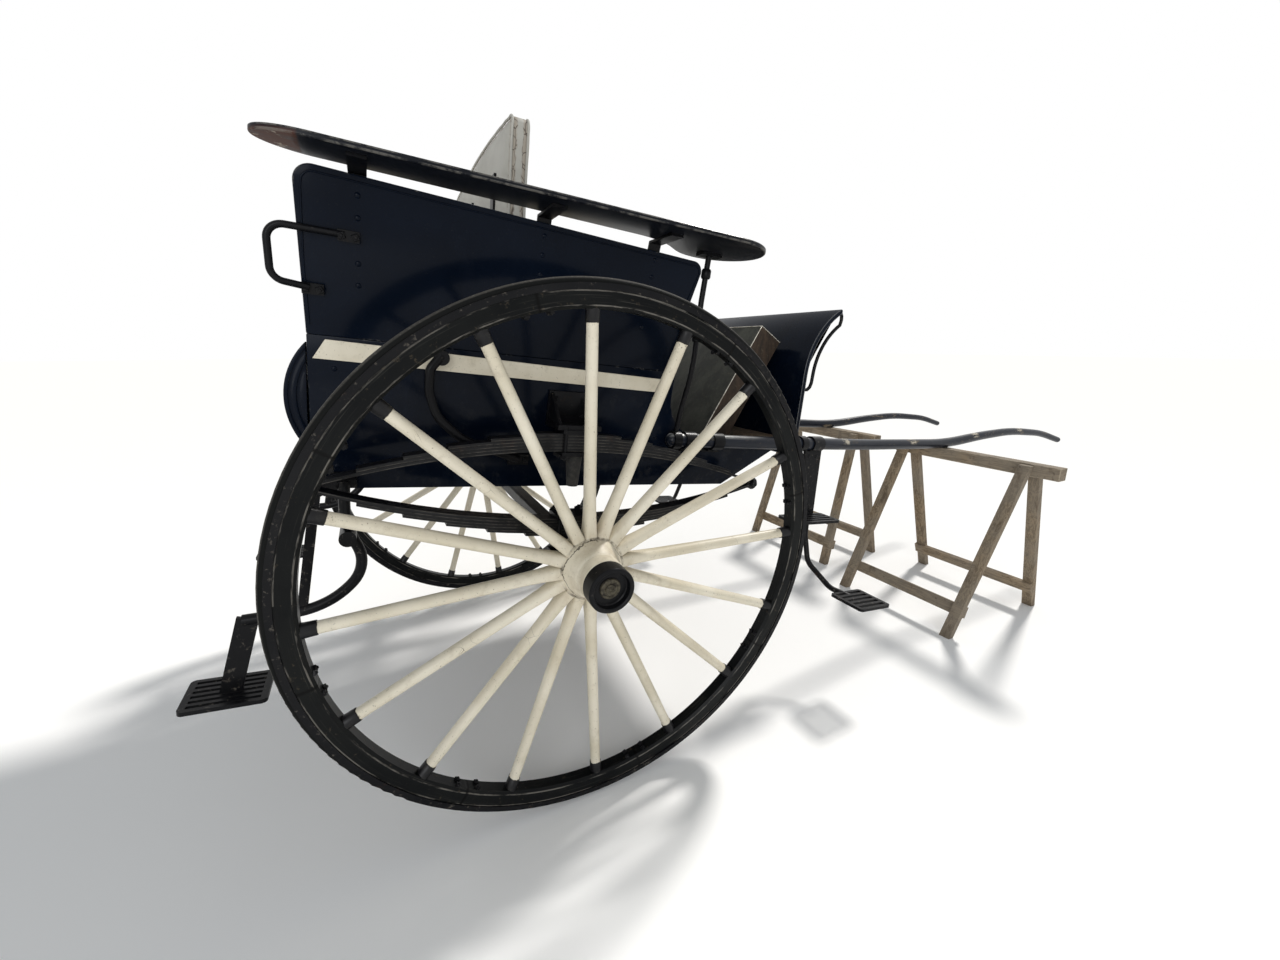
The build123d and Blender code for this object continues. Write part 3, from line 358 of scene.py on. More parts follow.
def tyreRubber():
    f = Finish("tyreRubber", {"Specular IOR Level": 0.08})
    radius, angle, out = f.wheelPlaces()
    tread = radius.band(0.6755, 0.6785)
    dust = f.noise(2.0, 5, 0.65, f.joined(angle * 3.0, radius * 120, out * 160)).band(0.42, 0.72)
    grit = f.noise(210, 3, 0.7).band(0.5, 0.75)
    # the outermost band of the tread is lightened: partly dust on worn rubber, partly a painted highlight on the
    # tyre's shoulder
    colour = f.layers(f.mix(dust * 0.5, (0.0034, 0.0038, 0.0038, 1), (0.013, 0.013, 0.0118, 1)),
                      (tread * (0.3 + grit * 0.5), (0.16, 0.15, 0.135, 1)))
    height = (radius * 1900).maths("SINE") * 0.25 * (1 - tread) + grit * 0.5
    return f.surface(colour, 0.60 + dust * 0.2 + tread * 0.1, height, 0.30, 0.0006)


def ironPaint(name="ironPaint", worn=0.5):
    f = Finish(name, {"Specular IOR Level": 0.09, "Coat Weight": 0.07, "Coat Roughness": 0.18})
    clouds = f.noise(8, 4).band(0.3, 0.75)
    chips = f.noise(75, 5, 0.7).band(0.67 - worn * 0.1, 0.80 - worn * 0.1)
    rust = f.noise(23, 5, 0.7).band(0.60, 0.78)
    edge = f.stored("edge") * f.noise(40, 5, 0.75).band(0.45, 0.62)
    colour = f.layers(f.mix(clouds, (0.0022, 0.0024, 0.0034, 1), (0.0062, 0.0062, 0.0070, 1)),
                      (rust * 0.4 * worn, (0.070, 0.034, 0.018, 1)),
                      (chips * worn * 0.8, (0.115, 0.102, 0.086, 1)),
                      (edge * 0.6, (0.16, 0.15, 0.13, 1)))
    height = f.noise(120, 3, 0.6) * 0.5 - chips * 0.5
    return f.surface(colour, 0.36 + clouds * 0.14 + rust * 0.2, height, 0.25, 0.0007)


def springPaint(name, centre):  # centre: height of the bow's centre; the leaves show as lines on its sides
    f = Finish(name, {"Specular IOR Level": 0.16, "Coat Weight": 0.10, "Coat Roughness": 0.18})
    level = f.level()
    x, z = f.part("X", level), f.part("Z", level) - centre / 1000
    leaf = (((x * x + z * z) ** 0.5 - bow["radius"] / 1000) / (bow["leaf"] / 1000)).maths("FRACT")
    side = f.facing("Y").maths("ABSOLUTE").band(0.5, 0.8)
    gap = leaf.away(0.5, 0.40, 0.46) * side
    # a pale line along each leaf's edge on the sides: partly worn paint, partly painted highlight where the edges
    # catch light
    arris = leaf.near(0.22, 0.05, 0.14) * side * f.noise(19, 4, 0.7).band(0.38, 0.60)
    clouds = f.noise(8, 4).band(0.3, 0.75)
    rust = f.noise(30, 5, 0.7).band(0.58, 0.76)
    colour = f.layers(f.mix(clouds, (0.0030, 0.0032, 0.0042, 1), (0.0085, 0.0085, 0.0090, 1)),
                      (rust * 0.35, (0.055, 0.030, 0.018, 1)),
                      (arris * 0.55, (0.13, 0.12, 0.105, 1)),
                      (gap * 0.95, (0.0006, 0.0006, 0.0006, 1)))
    return f.surface(colour, 0.38 + rust * 0.25, f.noise(110, 3, 0.6) * 0.3 - gap, 0.5, 0.0010)


def wingPaint():
    f = Finish("wingPaint", {"Coat Weight": 0.08, "Coat Roughness": 0.15, "Specular IOR Level": 0.06})
    level = f.level()
    below = (0.2 - f.facing("Z")).band(0.0, 0.4)
    rearEnd = 1 - (f.part("X", level) + f.noise(40, 3) * 0.008).band(-0.600, -0.594)
    worn = f.noise(13, 5, 0.7, f.stretch((0.7, 1.4, 1.4))).band(0.30, 0.52) * rearEnd * below
    frontEnd = f.part("X").band(-0.70, -0.60) * f.noise(16, 4, 0.7, f.stretch((0.4, 2, 2))).band(0.45, 0.7)
    grain = f.noise(16, 5, 0.6, f.stretch((1, 14, 14), level))
    # pale flecks on the eased edges: partly worn paint, partly painted highlight along the wing's rim
    rim = f.stored("edge") * f.noise(24, 5, 0.75).band(0.40, 0.58)
    bare = f.noise(44, 4, 0.7).band(0.60, 0.68) * rearEnd * below
    paint = f.mix(grain.band(0.35, 0.7), (0.0036, 0.0046, 0.0074, 1), (0.0098, 0.0108, 0.0140, 1))
    colour = f.layers(paint, (worn * 0.85, (0.074, 0.031, 0.021, 1)),
                      (frontEnd * 0.5, (0.045, 0.042, 0.040, 1)),
                      (bare * 0.7, (0.34, 0.29, 0.23, 1)),
                      (rim * 0.45, (0.20, 0.19, 0.17, 1)))
    return f.surface(colour, 0.28 + grain * 0.10 + worn * 0.3 + rim * 0.2, grain, 0.22, 0.0007)


def shaftPaint():
    f = Finish("shaftPaint", {"Coat Weight": 0.16, "Coat Roughness": 0.12, "Specular IOR Level": 0.12})
    level = f.level()
    along, up = f.part("X", level), f.facing("Z")
    grain = f.noise(9, 5, 0.6, f.stretch((1, 16, 16), level))
    scuffs = f.noise(17, 5, 0.72, f.stretch((0.6, 1.6, 1.6))).band(0.57, 0.66)
    front = 0.25 + f.part("X").band(0.2, 1.1) * 0.75
    bare = f.mix(grain.band(0.4, 0.6), srgb(150, 138, 118), srgb(103, 90, 72))
    marks = [along.near(place, 0.008, 0.030) for place in (1.174, 1.657, 2.155, 2.532)]  # on the near shaft
    patch = (marks[0] + marks[1] + marks[2] + marks[3]) * (1 - f.part("Y").band(-0.02, 0.0))
    patch = patch * up.band(-0.1, 0.5) * f.noise(70, 4, 0.7, f.stretch((0.4, 2, 2))).band(0.46, 0.54)
    # painted highlight: the tops of the shaft roots are lightened with pale grey streaks, standing in for sun on
    # the gloss
    root = (1 - along.band(0.56, 0.70)) * up.band(0.45, 0.85)
    root = root * f.noise(26, 4, 0.7, f.stretch((0.3, 2, 2))).band(0.30, 0.48)
    paint = f.mix(grain.band(0.3, 0.7), (0.0042, 0.0062, 0.0125, 1), (0.0100, 0.0130, 0.0205, 1))
    colour = f.layers(paint, (scuffs * front * 0.75, bare), (patch * 0.9, srgb(196, 186, 166)),
                      (root * 0.7, (0.34, 0.34, 0.33, 1)))
    return f.surface(colour, 0.26 + grain * 0.12 + scuffs * 0.3, grain - scuffs * 0.4, 0.25, 0.0007)


def trestleWood():
    f = Finish("trestleWood", {"Specular IOR Level": 0.25})
    height = f.part("Z")
    low = height.band(0.076, 0.084) * (1 - height.band(0.136, 0.144))
    across = (low + height.band(0.688, 0.692)).maths("MINIMUM", 1.0)  # the rails and beams lie crosswise
    upFibres = f.noise(7, 6, 0.62, f.stretch((9, 9, 0.9)), 0.6)
    crossFibres = f.noise(7, 6, 0.62, f.stretch((9, 0.9, 9)), 0.6)
    fibres = upFibres * (1 - across) + crossFibres * across
    rings = (fibres * 34).maths("SINE") * 0.5 + 0.5
    weather = f.noise(3.4, 4, 0.6).band(0.30, 0.62)
    stains = f.noise(9, 5, 0.7, f.stretch((2, 2, 0.6))).band(0.54, 0.72)
    edge = f.stored("edge") * f.noise(30, 4, 0.7).band(0.42, 0.6)
    colour = f.layers(f.mix(rings, srgb(150, 132, 107), srgb(104, 88, 68)),
                      (weather * 0.65, srgb(128, 121, 110)), (stains * 0.7, srgb(74, 60, 46)),
                      (f.noise(55, 4, 0.7).band(0.60, 0.72) * 0.7, srgb(64, 53, 43)),
                      ((1 - height.band(0.0, 0.07)) * 0.5, srgb(100, 90, 78)),
                      (edge * 0.5, srgb(190, 178, 158)))
    return f.surface(colour, 0.72 + rings * 0.12, rings * 0.5 + fibres * 0.5, 0.45, 0.0009)


def boardWood():
    f = Finish("boardWood", {"Specular IOR Level": 0.3})
    grain = f.noise(8, 6, 0.6, f.stretch((1, 12, 12), f.level()), 0.5)
    rings = (grain * 26).maths("SINE") * 0.5 + 0.5
    joint = (f.part("Y") * 9.0).maths("FRACT").near(0.5, 0.008, 0.018)  # nine boards a metre
    colour = f.layers(f.mix(rings, srgb(92, 76, 58), srgb(66, 54, 42)),
                      (f.noise(14, 5).band(0.5, 0.75) * 0.6, srgb(112, 104, 92)),
                      (joint * 0.85, srgb(22, 18, 15)))
    return f.surface(colour, 0.6 + rings * 0.15, rings * 0.3 - joint, 0.5, 0.001)


def seatCanvas(name, tones):
    f = Finish(name, {"Sheen Weight": 0.15, "Sheen Roughness": 0.5, "Specular IOR Level": 0.25})
    level = f.level()
    warp = (f.part("Y", level) * 2600).maths("SINE")
    weft = ((f.part("Z", level) + f.part("X", level)) * 2600).maths("SINE")
    clouds = f.noise(5, 4, 0.6).band(0.3, 0.75)
    stains = f.noise(13, 5, 0.7).band(0.55, 0.78)
    crackle = 1 - f.cracks(75, f.stretch((1, 1, 0.5))).band(0.015, 0.05)
    ragged = (f.stored("seam") * 1.5 + f.noise(40, 4, 0.7) - 0.5).band(0.66, 1.0)
    colour = f.layers(f.mix(clouds, srgb(*tones[0]), srgb(*tones[1])), (stains * 0.5, srgb(*tones[2])),
                      (ragged * 0.4, srgb(138, 116, 92)), (ragged * crackle * 0.8, srgb(52, 40, 32)))
    height = warp * weft * 0.12 + f.noise(70, 4, 0.6) * 0.4 - ragged * crackle * 1.2
    return f.surface(colour, 0.78 + stains * 0.1, height, 0.5, 0.0012)


def restWood():
    f = Finish("restWood", {"Specular IOR Level": 0.25})
    ends = f.part("Y").maths("ABSOLUTE").band(0.2915, 0.2935)
    blotches = f.noise(11, 6, 0.68)
    fine = f.noise(64, 5, 0.7)
    streaks = f.noise(16, 6, 0.7, f.stretch((3, 3, 1))).band(0.3, 0.7)
    grey = f.mix(blotches.band(0.35, 0.65), srgb(66, 67, 60), srgb(42, 43, 39))
    brown = f.mix(streaks, srgb(66, 53, 42), srgb(38, 31, 26))
    colour = f.layers(f.mix(ends, grey, brown), (fine.band(0.54, 0.76) * 0.40, srgb(112, 105, 88)),
                      (f.noise(130, 3, 0.6).band(0.62, 0.72) * 0.6, srgb(32, 28, 24)))
    return f.surface(colour, 0.58 + fine * 0.25, fine + blotches * 0.5, 0.5, 0.0012)


def paleMetal():
    f = Finish("paleMetal", {"Specular IOR Level": 0.5})
    dull = f.noise(40, 4, 0.7).band(0.4, 0.7)
    colour = f.mix(dull, srgb(196, 192, 182), srgb(136, 128, 114))
    return f.surface(colour, 0.35 + dull * 0.3, dull, 0.2, 0.0004, {"Metallic": 0.85 - dull * 0.5})


def nutMetal():
    f = Finish("nutMetal", {"Specular IOR Level": 0.3, "Metallic": 0.3})
    dirt = f.noise(90, 4, 0.7).band(0.40, 0.66)
    return f.surface(f.mix(dirt, srgb(74, 69, 56), srgb(34, 31, 26)), 0.45 + dirt * 0.3, dirt, 0.4, 0.0006)


def stopRubber():
    f = Finish("stopRubber", {"Specular IOR Level": 0.3})
    dust = f.noise(50, 4, 0.7).band(0.4, 0.75)
    colour = f.mix(dust, (0.014, 0.014, 0.0135, 1), (0.055, 0.052, 0.046, 1))
    return f.surface(colour, 0.65 + dust * 0.2, dust, 0.2, 0.0006)


finishes = {
    "coach": coachPaint(), "coachEdge": coachPaint("coachEdge", 0.5, 0.6), "felloe": felloePaint(),
    "wheelCream": creamPaint("wheelCream", True), "beltCream": creamPaint("beltCream", False),
    "tyre": tyreRubber(), "iron": ironPaint(), "rimIron": ironPaint("rimIron", 0.9), "wing": wingPaint(),
    "shaft": shaftPaint(), "trestle": trestleWood(), "boards": boardWood(), "rest": restWood(),
    "canvas": seatCanvas("backCanvas", [(188, 186, 178), (166, 164, 156), (142, 134, 118)]),
    "cushion": seatCanvas("cushionCloth", [(186, 178, 160), (160, 151, 132), (132, 119, 97)]),
    "pale": paleMetal(), "stop": stopRubber(), "nut": nutMetal(),
    "upperBow": springPaint("upperBow", bow["upper"] - bow["radius"]),
    "lowerBow": springPaint("lowerBow", bow["lower"] + bow["radius"]),
}

# which of the CAD's nodes wear each finish; the two of a pair share a name
dressing = {
    "iron": ["cap", "axle", "axle_clips", "body_brackets", "tail_hinges", "back_irons", "wing_irons",
             "grab_handles", "body_stays", "dash_irons", "shaft_irons"],
    "coach": ["side_lower", "side_upper", "cross_boards", "tailboard", "dash", "splinter_bar"],
    "rimIron": ["rim", "front_steps", "rear_steps"], "boards": ["floor", "seat_board"],
    "trestle": ["trestle_beams", "trestle_frames"], "cushion": ["front_cushion", "rear_cushion"],
    "wheelCream": ["hub"], "felloe": ["felloe"], "tyre": ["tyre"], "wing": ["wing"], "shaft": ["shaft"],
    "upperBow": ["springs_upper"], "lowerBow": ["springs_lower"], "stop": ["bump_stops"],
    "beltCream": ["belt_rails"], "canvas": ["backrest"], "rest": ["foot_rest"],
}
finishOf = {name: finish for finish, names in dressing.items() for name in names}
finishOf.update({name: finishOf[name.rsplit("_", 1)[0]] for name in nodes if name not in finishOf})
for name, made in nodes.items():
    made.data.materials.clear()
    made.data.materials.append(finishes[finishOf[name]])
bodyOf = {name: body for body, names in frame["record"]["behaviour"]["bodies"].items() for name in names}
print("finishes made:", len(finishes))

# the curled dash: its front, where the curl starts, the curl's radius and angle, and its irons
dash = {"x": 905, "bendZ": 540, "radius": 296, "sweep": 55.9, "half": 432, "lip": 16,
        "ironOut": 52, "ironFoot": 487, "ironIn": 9, "ironRod": 6.4, "ironBolt": 11,
        "edgeFoot": 300, "edge": 1.7, "binding": 7.2}

# helpers for pieces


def addPiece(name, mesh, body, finish=None, replaced=()):
    if finish:
        mesh.materials.clear()
        mesh.materials.append(finishes[finish])
    made = bpy.data.objects.new(name, mesh)
    scene.collection.objects.link(made)
    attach(made, body)
    if replaced:
        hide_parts(*replaced)
    return made


def hiddenObject(name, mesh):
    made = bpy.data.objects.new(name, mesh)
    scene.collection.objects.link(made)
    return made


def plainMesh(made):  # the object's mesh with its modifiers worked in
    return bpy.data.meshes.new_from_object(made.evaluated_get(bpy.context.evaluated_depsgraph_get()))


def smooth(mesh, angle=32):
    for face in mesh.polygons:
        face.use_smooth = True
    mesh.set_sharp_from_angle(angle=math.radians(angle))


def meshFrom(name, shape, angle=32):
    mesh = bpy.data.meshes.new(name)
    shape.to_mesh(mesh)
    shape.free()
    smooth(mesh, angle)
    return mesh


def absorb(shape, other, place=None):  # puts one bmesh into another
    mesh = bpy.data.meshes.new("part")
    other.to_mesh(mesh)
    other.free()
    if place:
        mesh.transform(place)
    shape.from_mesh(mesh)
    bpy.data.meshes.remove(mesh)


def pushFace(shape, face, axis, place):  # draws one face out to a place on an axis
    grown = bmesh.ops.extrude_face_region(shape, geom=[face])
    for v in [g for g in grown["geom"] if isinstance(g, bmesh.types.BMVert)]:
        v.co[axis] = place


def lathe(profile, steps=48, unit=1000):  # profile: (radius, height), outside of the turned piece, closed
    shape = bmesh.new()
    rows = []
    for k in range(steps):
        a = 2 * math.pi * k / steps
        rows.append([shape.verts.new((r / unit * math.cos(a), r / unit * math.sin(a), h / unit))
                     for r, h in profile])
    for a, b in zip(rows, rows[1:] + rows[:1]):
        for k in range(len(profile)):
            n = (k + 1) % len(profile)
            shape.faces.new((a[k], b[k], b[n], a[n]))
    bmesh.ops.remove_doubles(shape, verts=shape.verts, dist=0.00001)
    bmesh.ops.recalc_face_normals(shape, faces=shape.faces)
    return shape


def slimPost(place):  # the dash's end posts, drawn back to a thin lip
    level = levelMatrix @ place * 1000
    level = Vector((level.x - dash["x"] - dash["radius"], 0, level.z - dash["bendZ"]))
    straight = level.z <= 0
    out = dash["radius"] - (-level.x if straight else level.length)
    extra = max(0.0, out - dash["lip"])
    way = Vector((1, 0, 0)) if straight else -level.normalized()
    return place - cartMatrix.to_3x3() @ way * (extra / 1000)


def soften(node, width, reform=None):  # the CAD piece again, with its arrises eased
    shape = bmesh.new()
    shape.from_mesh(nodes[node].data)
    for v in shape.verts if reform else ():
        v.co = reform(v.co)
    bmesh.ops.remove_doubles(shape, verts=shape.verts, dist=0.00002)
    bmesh.ops.dissolve_limit(shape, angle_limit=math.radians(0.8), verts=shape.verts, edges=shape.edges)
    sharp = [e for e in shape.edges if len(e.link_faces) == 2 and e.calc_face_angle() > math.radians(34)]
    # the eased faces are marked, so finishes can lighten them: worn paint, and on the coach paint and wings
    # partly painted highlight
    edge = shape.faces.layers.float.new("edge")
    settings = {"offset": width / 1000, "segments": 3 if width > 3 else 2, "profile": 0.6}
    for face in bmesh.ops.bevel(shape, geom=sharp, affect="EDGES", clamp_overlap=True, **settings)["faces"]:
        face[edge] = 1
    bmesh.ops.triangulate(shape, faces=[f for f in shape.faces if len(f.verts) > 4])
    mesh = meshFrom(node + ".eased", shape, 28)
    return addPiece(node + ".eased", mesh, bodyOf[node], finishOf[node], [node])


class Recipe(Net):  # a geometry node tree with named inputs
    def __init__(self, name, inputs):
        tree = bpy.data.node_groups.new(name, "GeometryNodeTree")
        super().__init__(tree)
        tree.interface.new_socket("Geometry", in_out="OUTPUT", socket_type="NodeSocketGeometry")
        tree.interface.new_socket("Geometry", in_out="INPUT", socket_type="NodeSocketGeometry")
        self.ids = {}
        for label, kind in {**inputs, "Material": "Material"}.items():
            made = tree.interface.new_socket(label, in_out="INPUT", socket_type="NodeSocket" + kind)
            self.ids[label] = made.identifier
        self.start = tree.nodes.new("NodeGroupInput")
        self.end = tree.nodes.new("NodeGroupOutput")

    def given(self, label):
        return Term(self, self.start.outputs[label])

    def finish(self, shape):
        real = self.node("GeometryNodeRealizeInstances", values={0: shape})
        values = {"Geometry": real, "Material": self.given("Material")}
        done = self.node("GeometryNodeSetMaterial", values=values)
        self.tree.links.new(done.socket, self.end.inputs[0])

    def run(self, name, mesh, values):  # a plain mesh made from the tree
        base = hiddenObject(name, mesh)
        modifier = base.modifiers.new("recipe", "NODES")
        modifier.node_group = self.tree
        for label, value in values.items():
            modifier[self.ids[label]] = value
        result = plainMesh(base)
        base.modifiers.clear()
        bpy.data.objects.remove(base)
        return result


def spreadRecipe():  # one head on every point, turned to its facing, with a chance turn about its own axis
    r = Recipe("headSpread", {"Head": "Object", "Size": "Float", "Seed": "Int"})
    head = r.node("GeometryNodeObjectInfo", values={"Object": r.given("Head")}, out="Geometry")
    facing = r.node("GeometryNodeInputNamedAttribute", {"data_type": "FLOAT_VECTOR"}, {"Name": "facing"})
    upright = r.node("FunctionNodeAlignRotationToVector", {"axis": "Z"}, {"Vector": facing})
    chance = r.node("FunctionNodeRandomValue", {"data_type": "FLOAT"},
                    {2: 0.0, 3: math.pi, "Seed": r.given("Seed")}, 1)
    spin = r.node("FunctionNodeAxisAngleToRotation", values={"Axis": (0, 0, 1), "Angle": chance})
    turn = r.node("FunctionNodeRotateRotation", {"rotation_space": "LOCAL"},
                  {"Rotation": upright, "Rotate By": spin})
    values = {"Points": r.given("Geometry"), "Instance": head, "Rotation": turn, "Scale": r.given("Size")}
    r.finish(r.node("GeometryNodeInstanceOnPoints", values=values))
    return r


def beadRecipe():  # a round bead along every run of edges
    r = Recipe("beadRun", {"Radius": "Float", "Steps": "Int"})
    path = r.node("GeometryNodeMeshToCurve", values={0: r.given("Geometry")})
    ring = r.node("GeometryNodeCurvePrimitiveCircle",
                  values={"Resolution": r.given("Steps"), "Radius": r.given("Radius")})
    tube = r.node("GeometryNodeCurveToMesh", values={"Curve": path, "Profile Curve": ring, "Fill Caps": True})
    r.finish(r.node("GeometryNodeSetShadeSmooth", values={0: tube}))
    return r


def spokeRecipe():  # a spoke, repeated evenly round the hub that comes in
    r = Recipe("spokeRing", {"Spoke": "Object", "Count": "Int"})
    spoke = r.node("GeometryNodeObjectInfo", values={"Object": r.given("Spoke")}, out="Geometry")
    points = r.node("GeometryNodeMeshLine", values={"Count": r.given("Count"), "Offset": (0, 0, 0)})
    angle = r.node("GeometryNodeInputIndex") * (2 * math.pi) / r.given("Count")
    turn = r.node("FunctionNodeAxisAngleToRotation", values={"Axis": (0, 0, 1), "Angle": angle})
    values = {"Points": points, "Instance": spoke, "Rotation": turn}
    ring = r.node("GeometryNodeInstanceOnPoints", values=values)
    both = r.tree.nodes.new("GeometryNodeJoinGeometry")
    r.tree.links.new(ring.socket, both.inputs[0])
    r.tree.links.new(r.given("Geometry").socket, both.inputs[0])
    r.finish(Term(r, both.outputs[0]))
    return r


spread = spreadRecipe()
bead = beadRecipe()

# heads of bolts: one in radius, standing on z = 0
headShapes = {
    "dome": [(0, 0.46), (0.38, 0.43), (0.70, 0.30), (0.92, 0.12), (1.0, 0.0), (1.0, -0.2), (0, -0.2)],
    "nutHalf": 0.82, "nutMiddle": 0.35, "nutDeep": 0.45, "nutEase": 0.14,
    "boltEnd": [(0, 1.22), (0.36, 1.20), (0.46, 1.08), (0.46, 0.5), (0, 0.5)],
    "slotHalf": 0.12, "screwTop": 0.10, "screwFoot": -0.3,
    "slotFloor": [(0, 0.02), (0.98, 0.02), (0.98, -0.3), (0, -0.3)],
}


def nutShape():  # square, with the bolt's end standing out of it
    s = headShapes
    nut = bmesh.new()
    bmesh.ops.create_cube(nut, size=2)
    for v in nut.verts:
        v.co = Vector((v.co.x * s["nutHalf"], v.co.y * s["nutHalf"], s["nutMiddle"] + v.co.z * s["nutDeep"]))
    top = [e for e in nut.edges if all(v.co.z > s["nutMiddle"] for v in e.verts)]
    bmesh.ops.bevel(nut, geom=top, offset=s["nutEase"], segments=1, affect="EDGES")
    absorb(nut, lathe(s["boltEnd"], 12, 1))
    return nut


def screwShape():  # two halves of a disc with a slot between them
    s = headShapes
    gap = s["slotHalf"]
    screw = bmesh.new()
    for side in (-1, 1):
        rim = [screw.verts.new((math.cos(a), side * (gap + math.sin(a) * (1 - gap)), s["screwTop"]))
               for a in [math.pi * k / 10 for k in range(11)]]
        pushFace(screw, screw.faces.new(rim if side > 0 else rim[::-1]), 2, s["screwFoot"])
    absorb(screw, lathe(s["slotFloor"], 20, 1))
    bmesh.ops.recalc_face_normals(screw, faces=screw.faces)
    return screw


heads = {}
for name, shape in (("dome", lathe(headShapes["dome"], 16, 1)), ("nut", nutShape()), ("screw", screwShape())):
    heads[name] = hiddenObject(name + "Head", meshFrom(name + "Head", shape))


def fasten(name, kind, size, places, body, finish, seed=3):  # places: (point, facing) in metres
    points = bpy.data.meshes.new(name)
    points.from_pydata([p for p, _ in places], [], [])
    facing = points.attributes.new("facing", "FLOAT_VECTOR", "POINT")
    facing.data.foreach_set("vector", [c for _, way in places for c in way])
    values = {"Head": heads[kind], "Size": size / 1000, "Seed": seed, "Material": finishes[finish]}
    return addPiece(name, spread.run(name, points, values), body, None)


def beads(name, runs, radius, body, finish, steps=10, closed=False):  # runs: lists of points in metres
    path = bpy.data.meshes.new(name)
    points, edges = [], []
    for run in runs:
        first = len(points)
        points += run
        edges += [(first + k, first + k + 1) for k in range(len(run) - 1)]
        if closed:
            edges.append((len(points) - 1, first))
    path.from_pydata(points, edges, [])
    mesh = bead.run(name, path, {"Radius": radius / 1000, "Steps": steps, "Material": finishes[finish]})
    return addPiece(name, mesh, body, None)


def arc(centre, radius, start, stop, steps=8):  # side view points on an arc, angles in degrees
    cx, cz = centre
    turns = [math.radians(start + (stop - start) * k / steps) for k in range(steps + 1)]
    return [(cx + radius * math.cos(a), cz + radius * math.sin(a)) for a in turns]


# wheels

# rows: radius, width across, depth and squareness of a spoke; the profiles are (radius, height)
wheel = {
    "spokes": 16, "dish": 35, "felloe": 616, "foot": 60, "around": 20, "ferruleFrom": 588, "ferrule": 30.8,
    "rows": [(60, 34, 46, 5), (84, 33, 45.5, 4.5), (104, 32, 44, 3.2), (135, 30.5, 41.5, 2.4),
             (180, 29.8, 39, 2.0), (260, 29.2, 36, 2.0), (360, 28.4, 32.8, 2.0), (470, 27.6, 29.6, 2.0),
             (560, 27, 27.4, 2.0), (588, 27, 27, 2.0)],
    "hub": [(24.6, -118), (51, -118), (54, -115), (54, -101), (56, -98), (60, -96), (64, -92), (70, -80),
            (73.5, -69), (76, -65), (78, -62), (78.4, -50), (78.4, -20), (78, -9), (76, -5), (73, 0),
            (69, 10), (65, 20), (62.4, 28), (61.4, 31), (59.4, 33), (58.4, 36), (58.2, 44), (58, 69),
            (57, 70), (24.6, 70)],
    "cup": [(0, 90), (51, 90), (51, 70.3), (57, 70.3), (57, 109.5), (55.5, 112), (53, 113), (48, 113),
            (45.6, 111.5), (44.6, 108), (43.6, 98), (41, 96), (0, 96)],
    "nut": [(0, 92), (26, 92), (26, 99), (24, 101.5), (19, 102), (17.5, 100), (13, 99.6), (11.5, 102.5),
            (7, 103), (5.5, 100.5), (0, 100)],
    "boltRadius": 615.5, "boltStep": 2.4, "boltOut": 9, "bolt": 6.5,
    "screwWay": (-0.7071, 0.7071), "screwRadius": 56.6, "screwOut": 92, "screw": 5.5,
}


def spokeMesh():  # square-shouldered foot, oval neck, round end in a black ferrule
    start, end, wide = wheel["ferruleFrom"], wheel["felloe"], wheel["ferrule"]
    rows = wheel["rows"] + [(start + 0.3, wide - 1.4, wide - 1.4, 2.0), (start + 1.2, wide, wide, 2.0),
                            (end - 5, wide + 1.2, wide + 1.2, 2.0), (end + 1.5, wide + 3.4, wide + 3.4, 2.0)]
    shape = bmesh.new()
    rings = []
    for radius, across, deep, power in rows:
        middle = -wheel["dish"] * (end - radius) / (end - wheel["foot"])
        ring = []
        for k in range(wheel["around"]):
            a = 2 * math.pi * k / wheel["around"]
            c, s = math.cos(a), math.sin(a)
            x = math.copysign(abs(c) ** (2 / power), c) * across / 2
            z = math.copysign(abs(s) ** (2 / power), s) * deep / 2
            ring.append(shape.verts.new((x / 1000, radius / 1000, (middle + z) / 1000)))
        rings.append(ring)
    for a, b in zip(rings, rings[1:]):
        for k in range(wheel["around"]):
            n = (k + 1) % wheel["around"]
            shape.faces.new((a[k], a[n], b[n], b[k]))
    shape.faces.new(rings[0][::-1])
    shape.faces.new(rings[-1])
    bmesh.ops.recalc_face_normals(shape, faces=shape.faces)
    return meshFrom("spoke", shape, 40)


def headOnWheel(place, x, y, radius, out, facing):  # x, y: its direction from the axle; facing: -1 inwards
    spot = place @ (Vector((x * radius, y * radius, out)) / 1000)
    return spot, place.to_3x3() @ Vector((facing * x, facing * y, 0))


def felloeJoints(place, turned):  # two bolts on each side of the eight joints, inside the ring
    found = []
    for k in range(8):
        for step in (-wheel["boltStep"], wheel["boltStep"]):
            a = math.radians(180 / wheel["spokes"] + turned + 45 * k + step)
            for out in (-wheel["boltOut"], wheel["boltOut"]):
                found.append(headOnWheel(place, math.cos(a), math.sin(a), wheel["boltRadius"], out, -1))
    return found


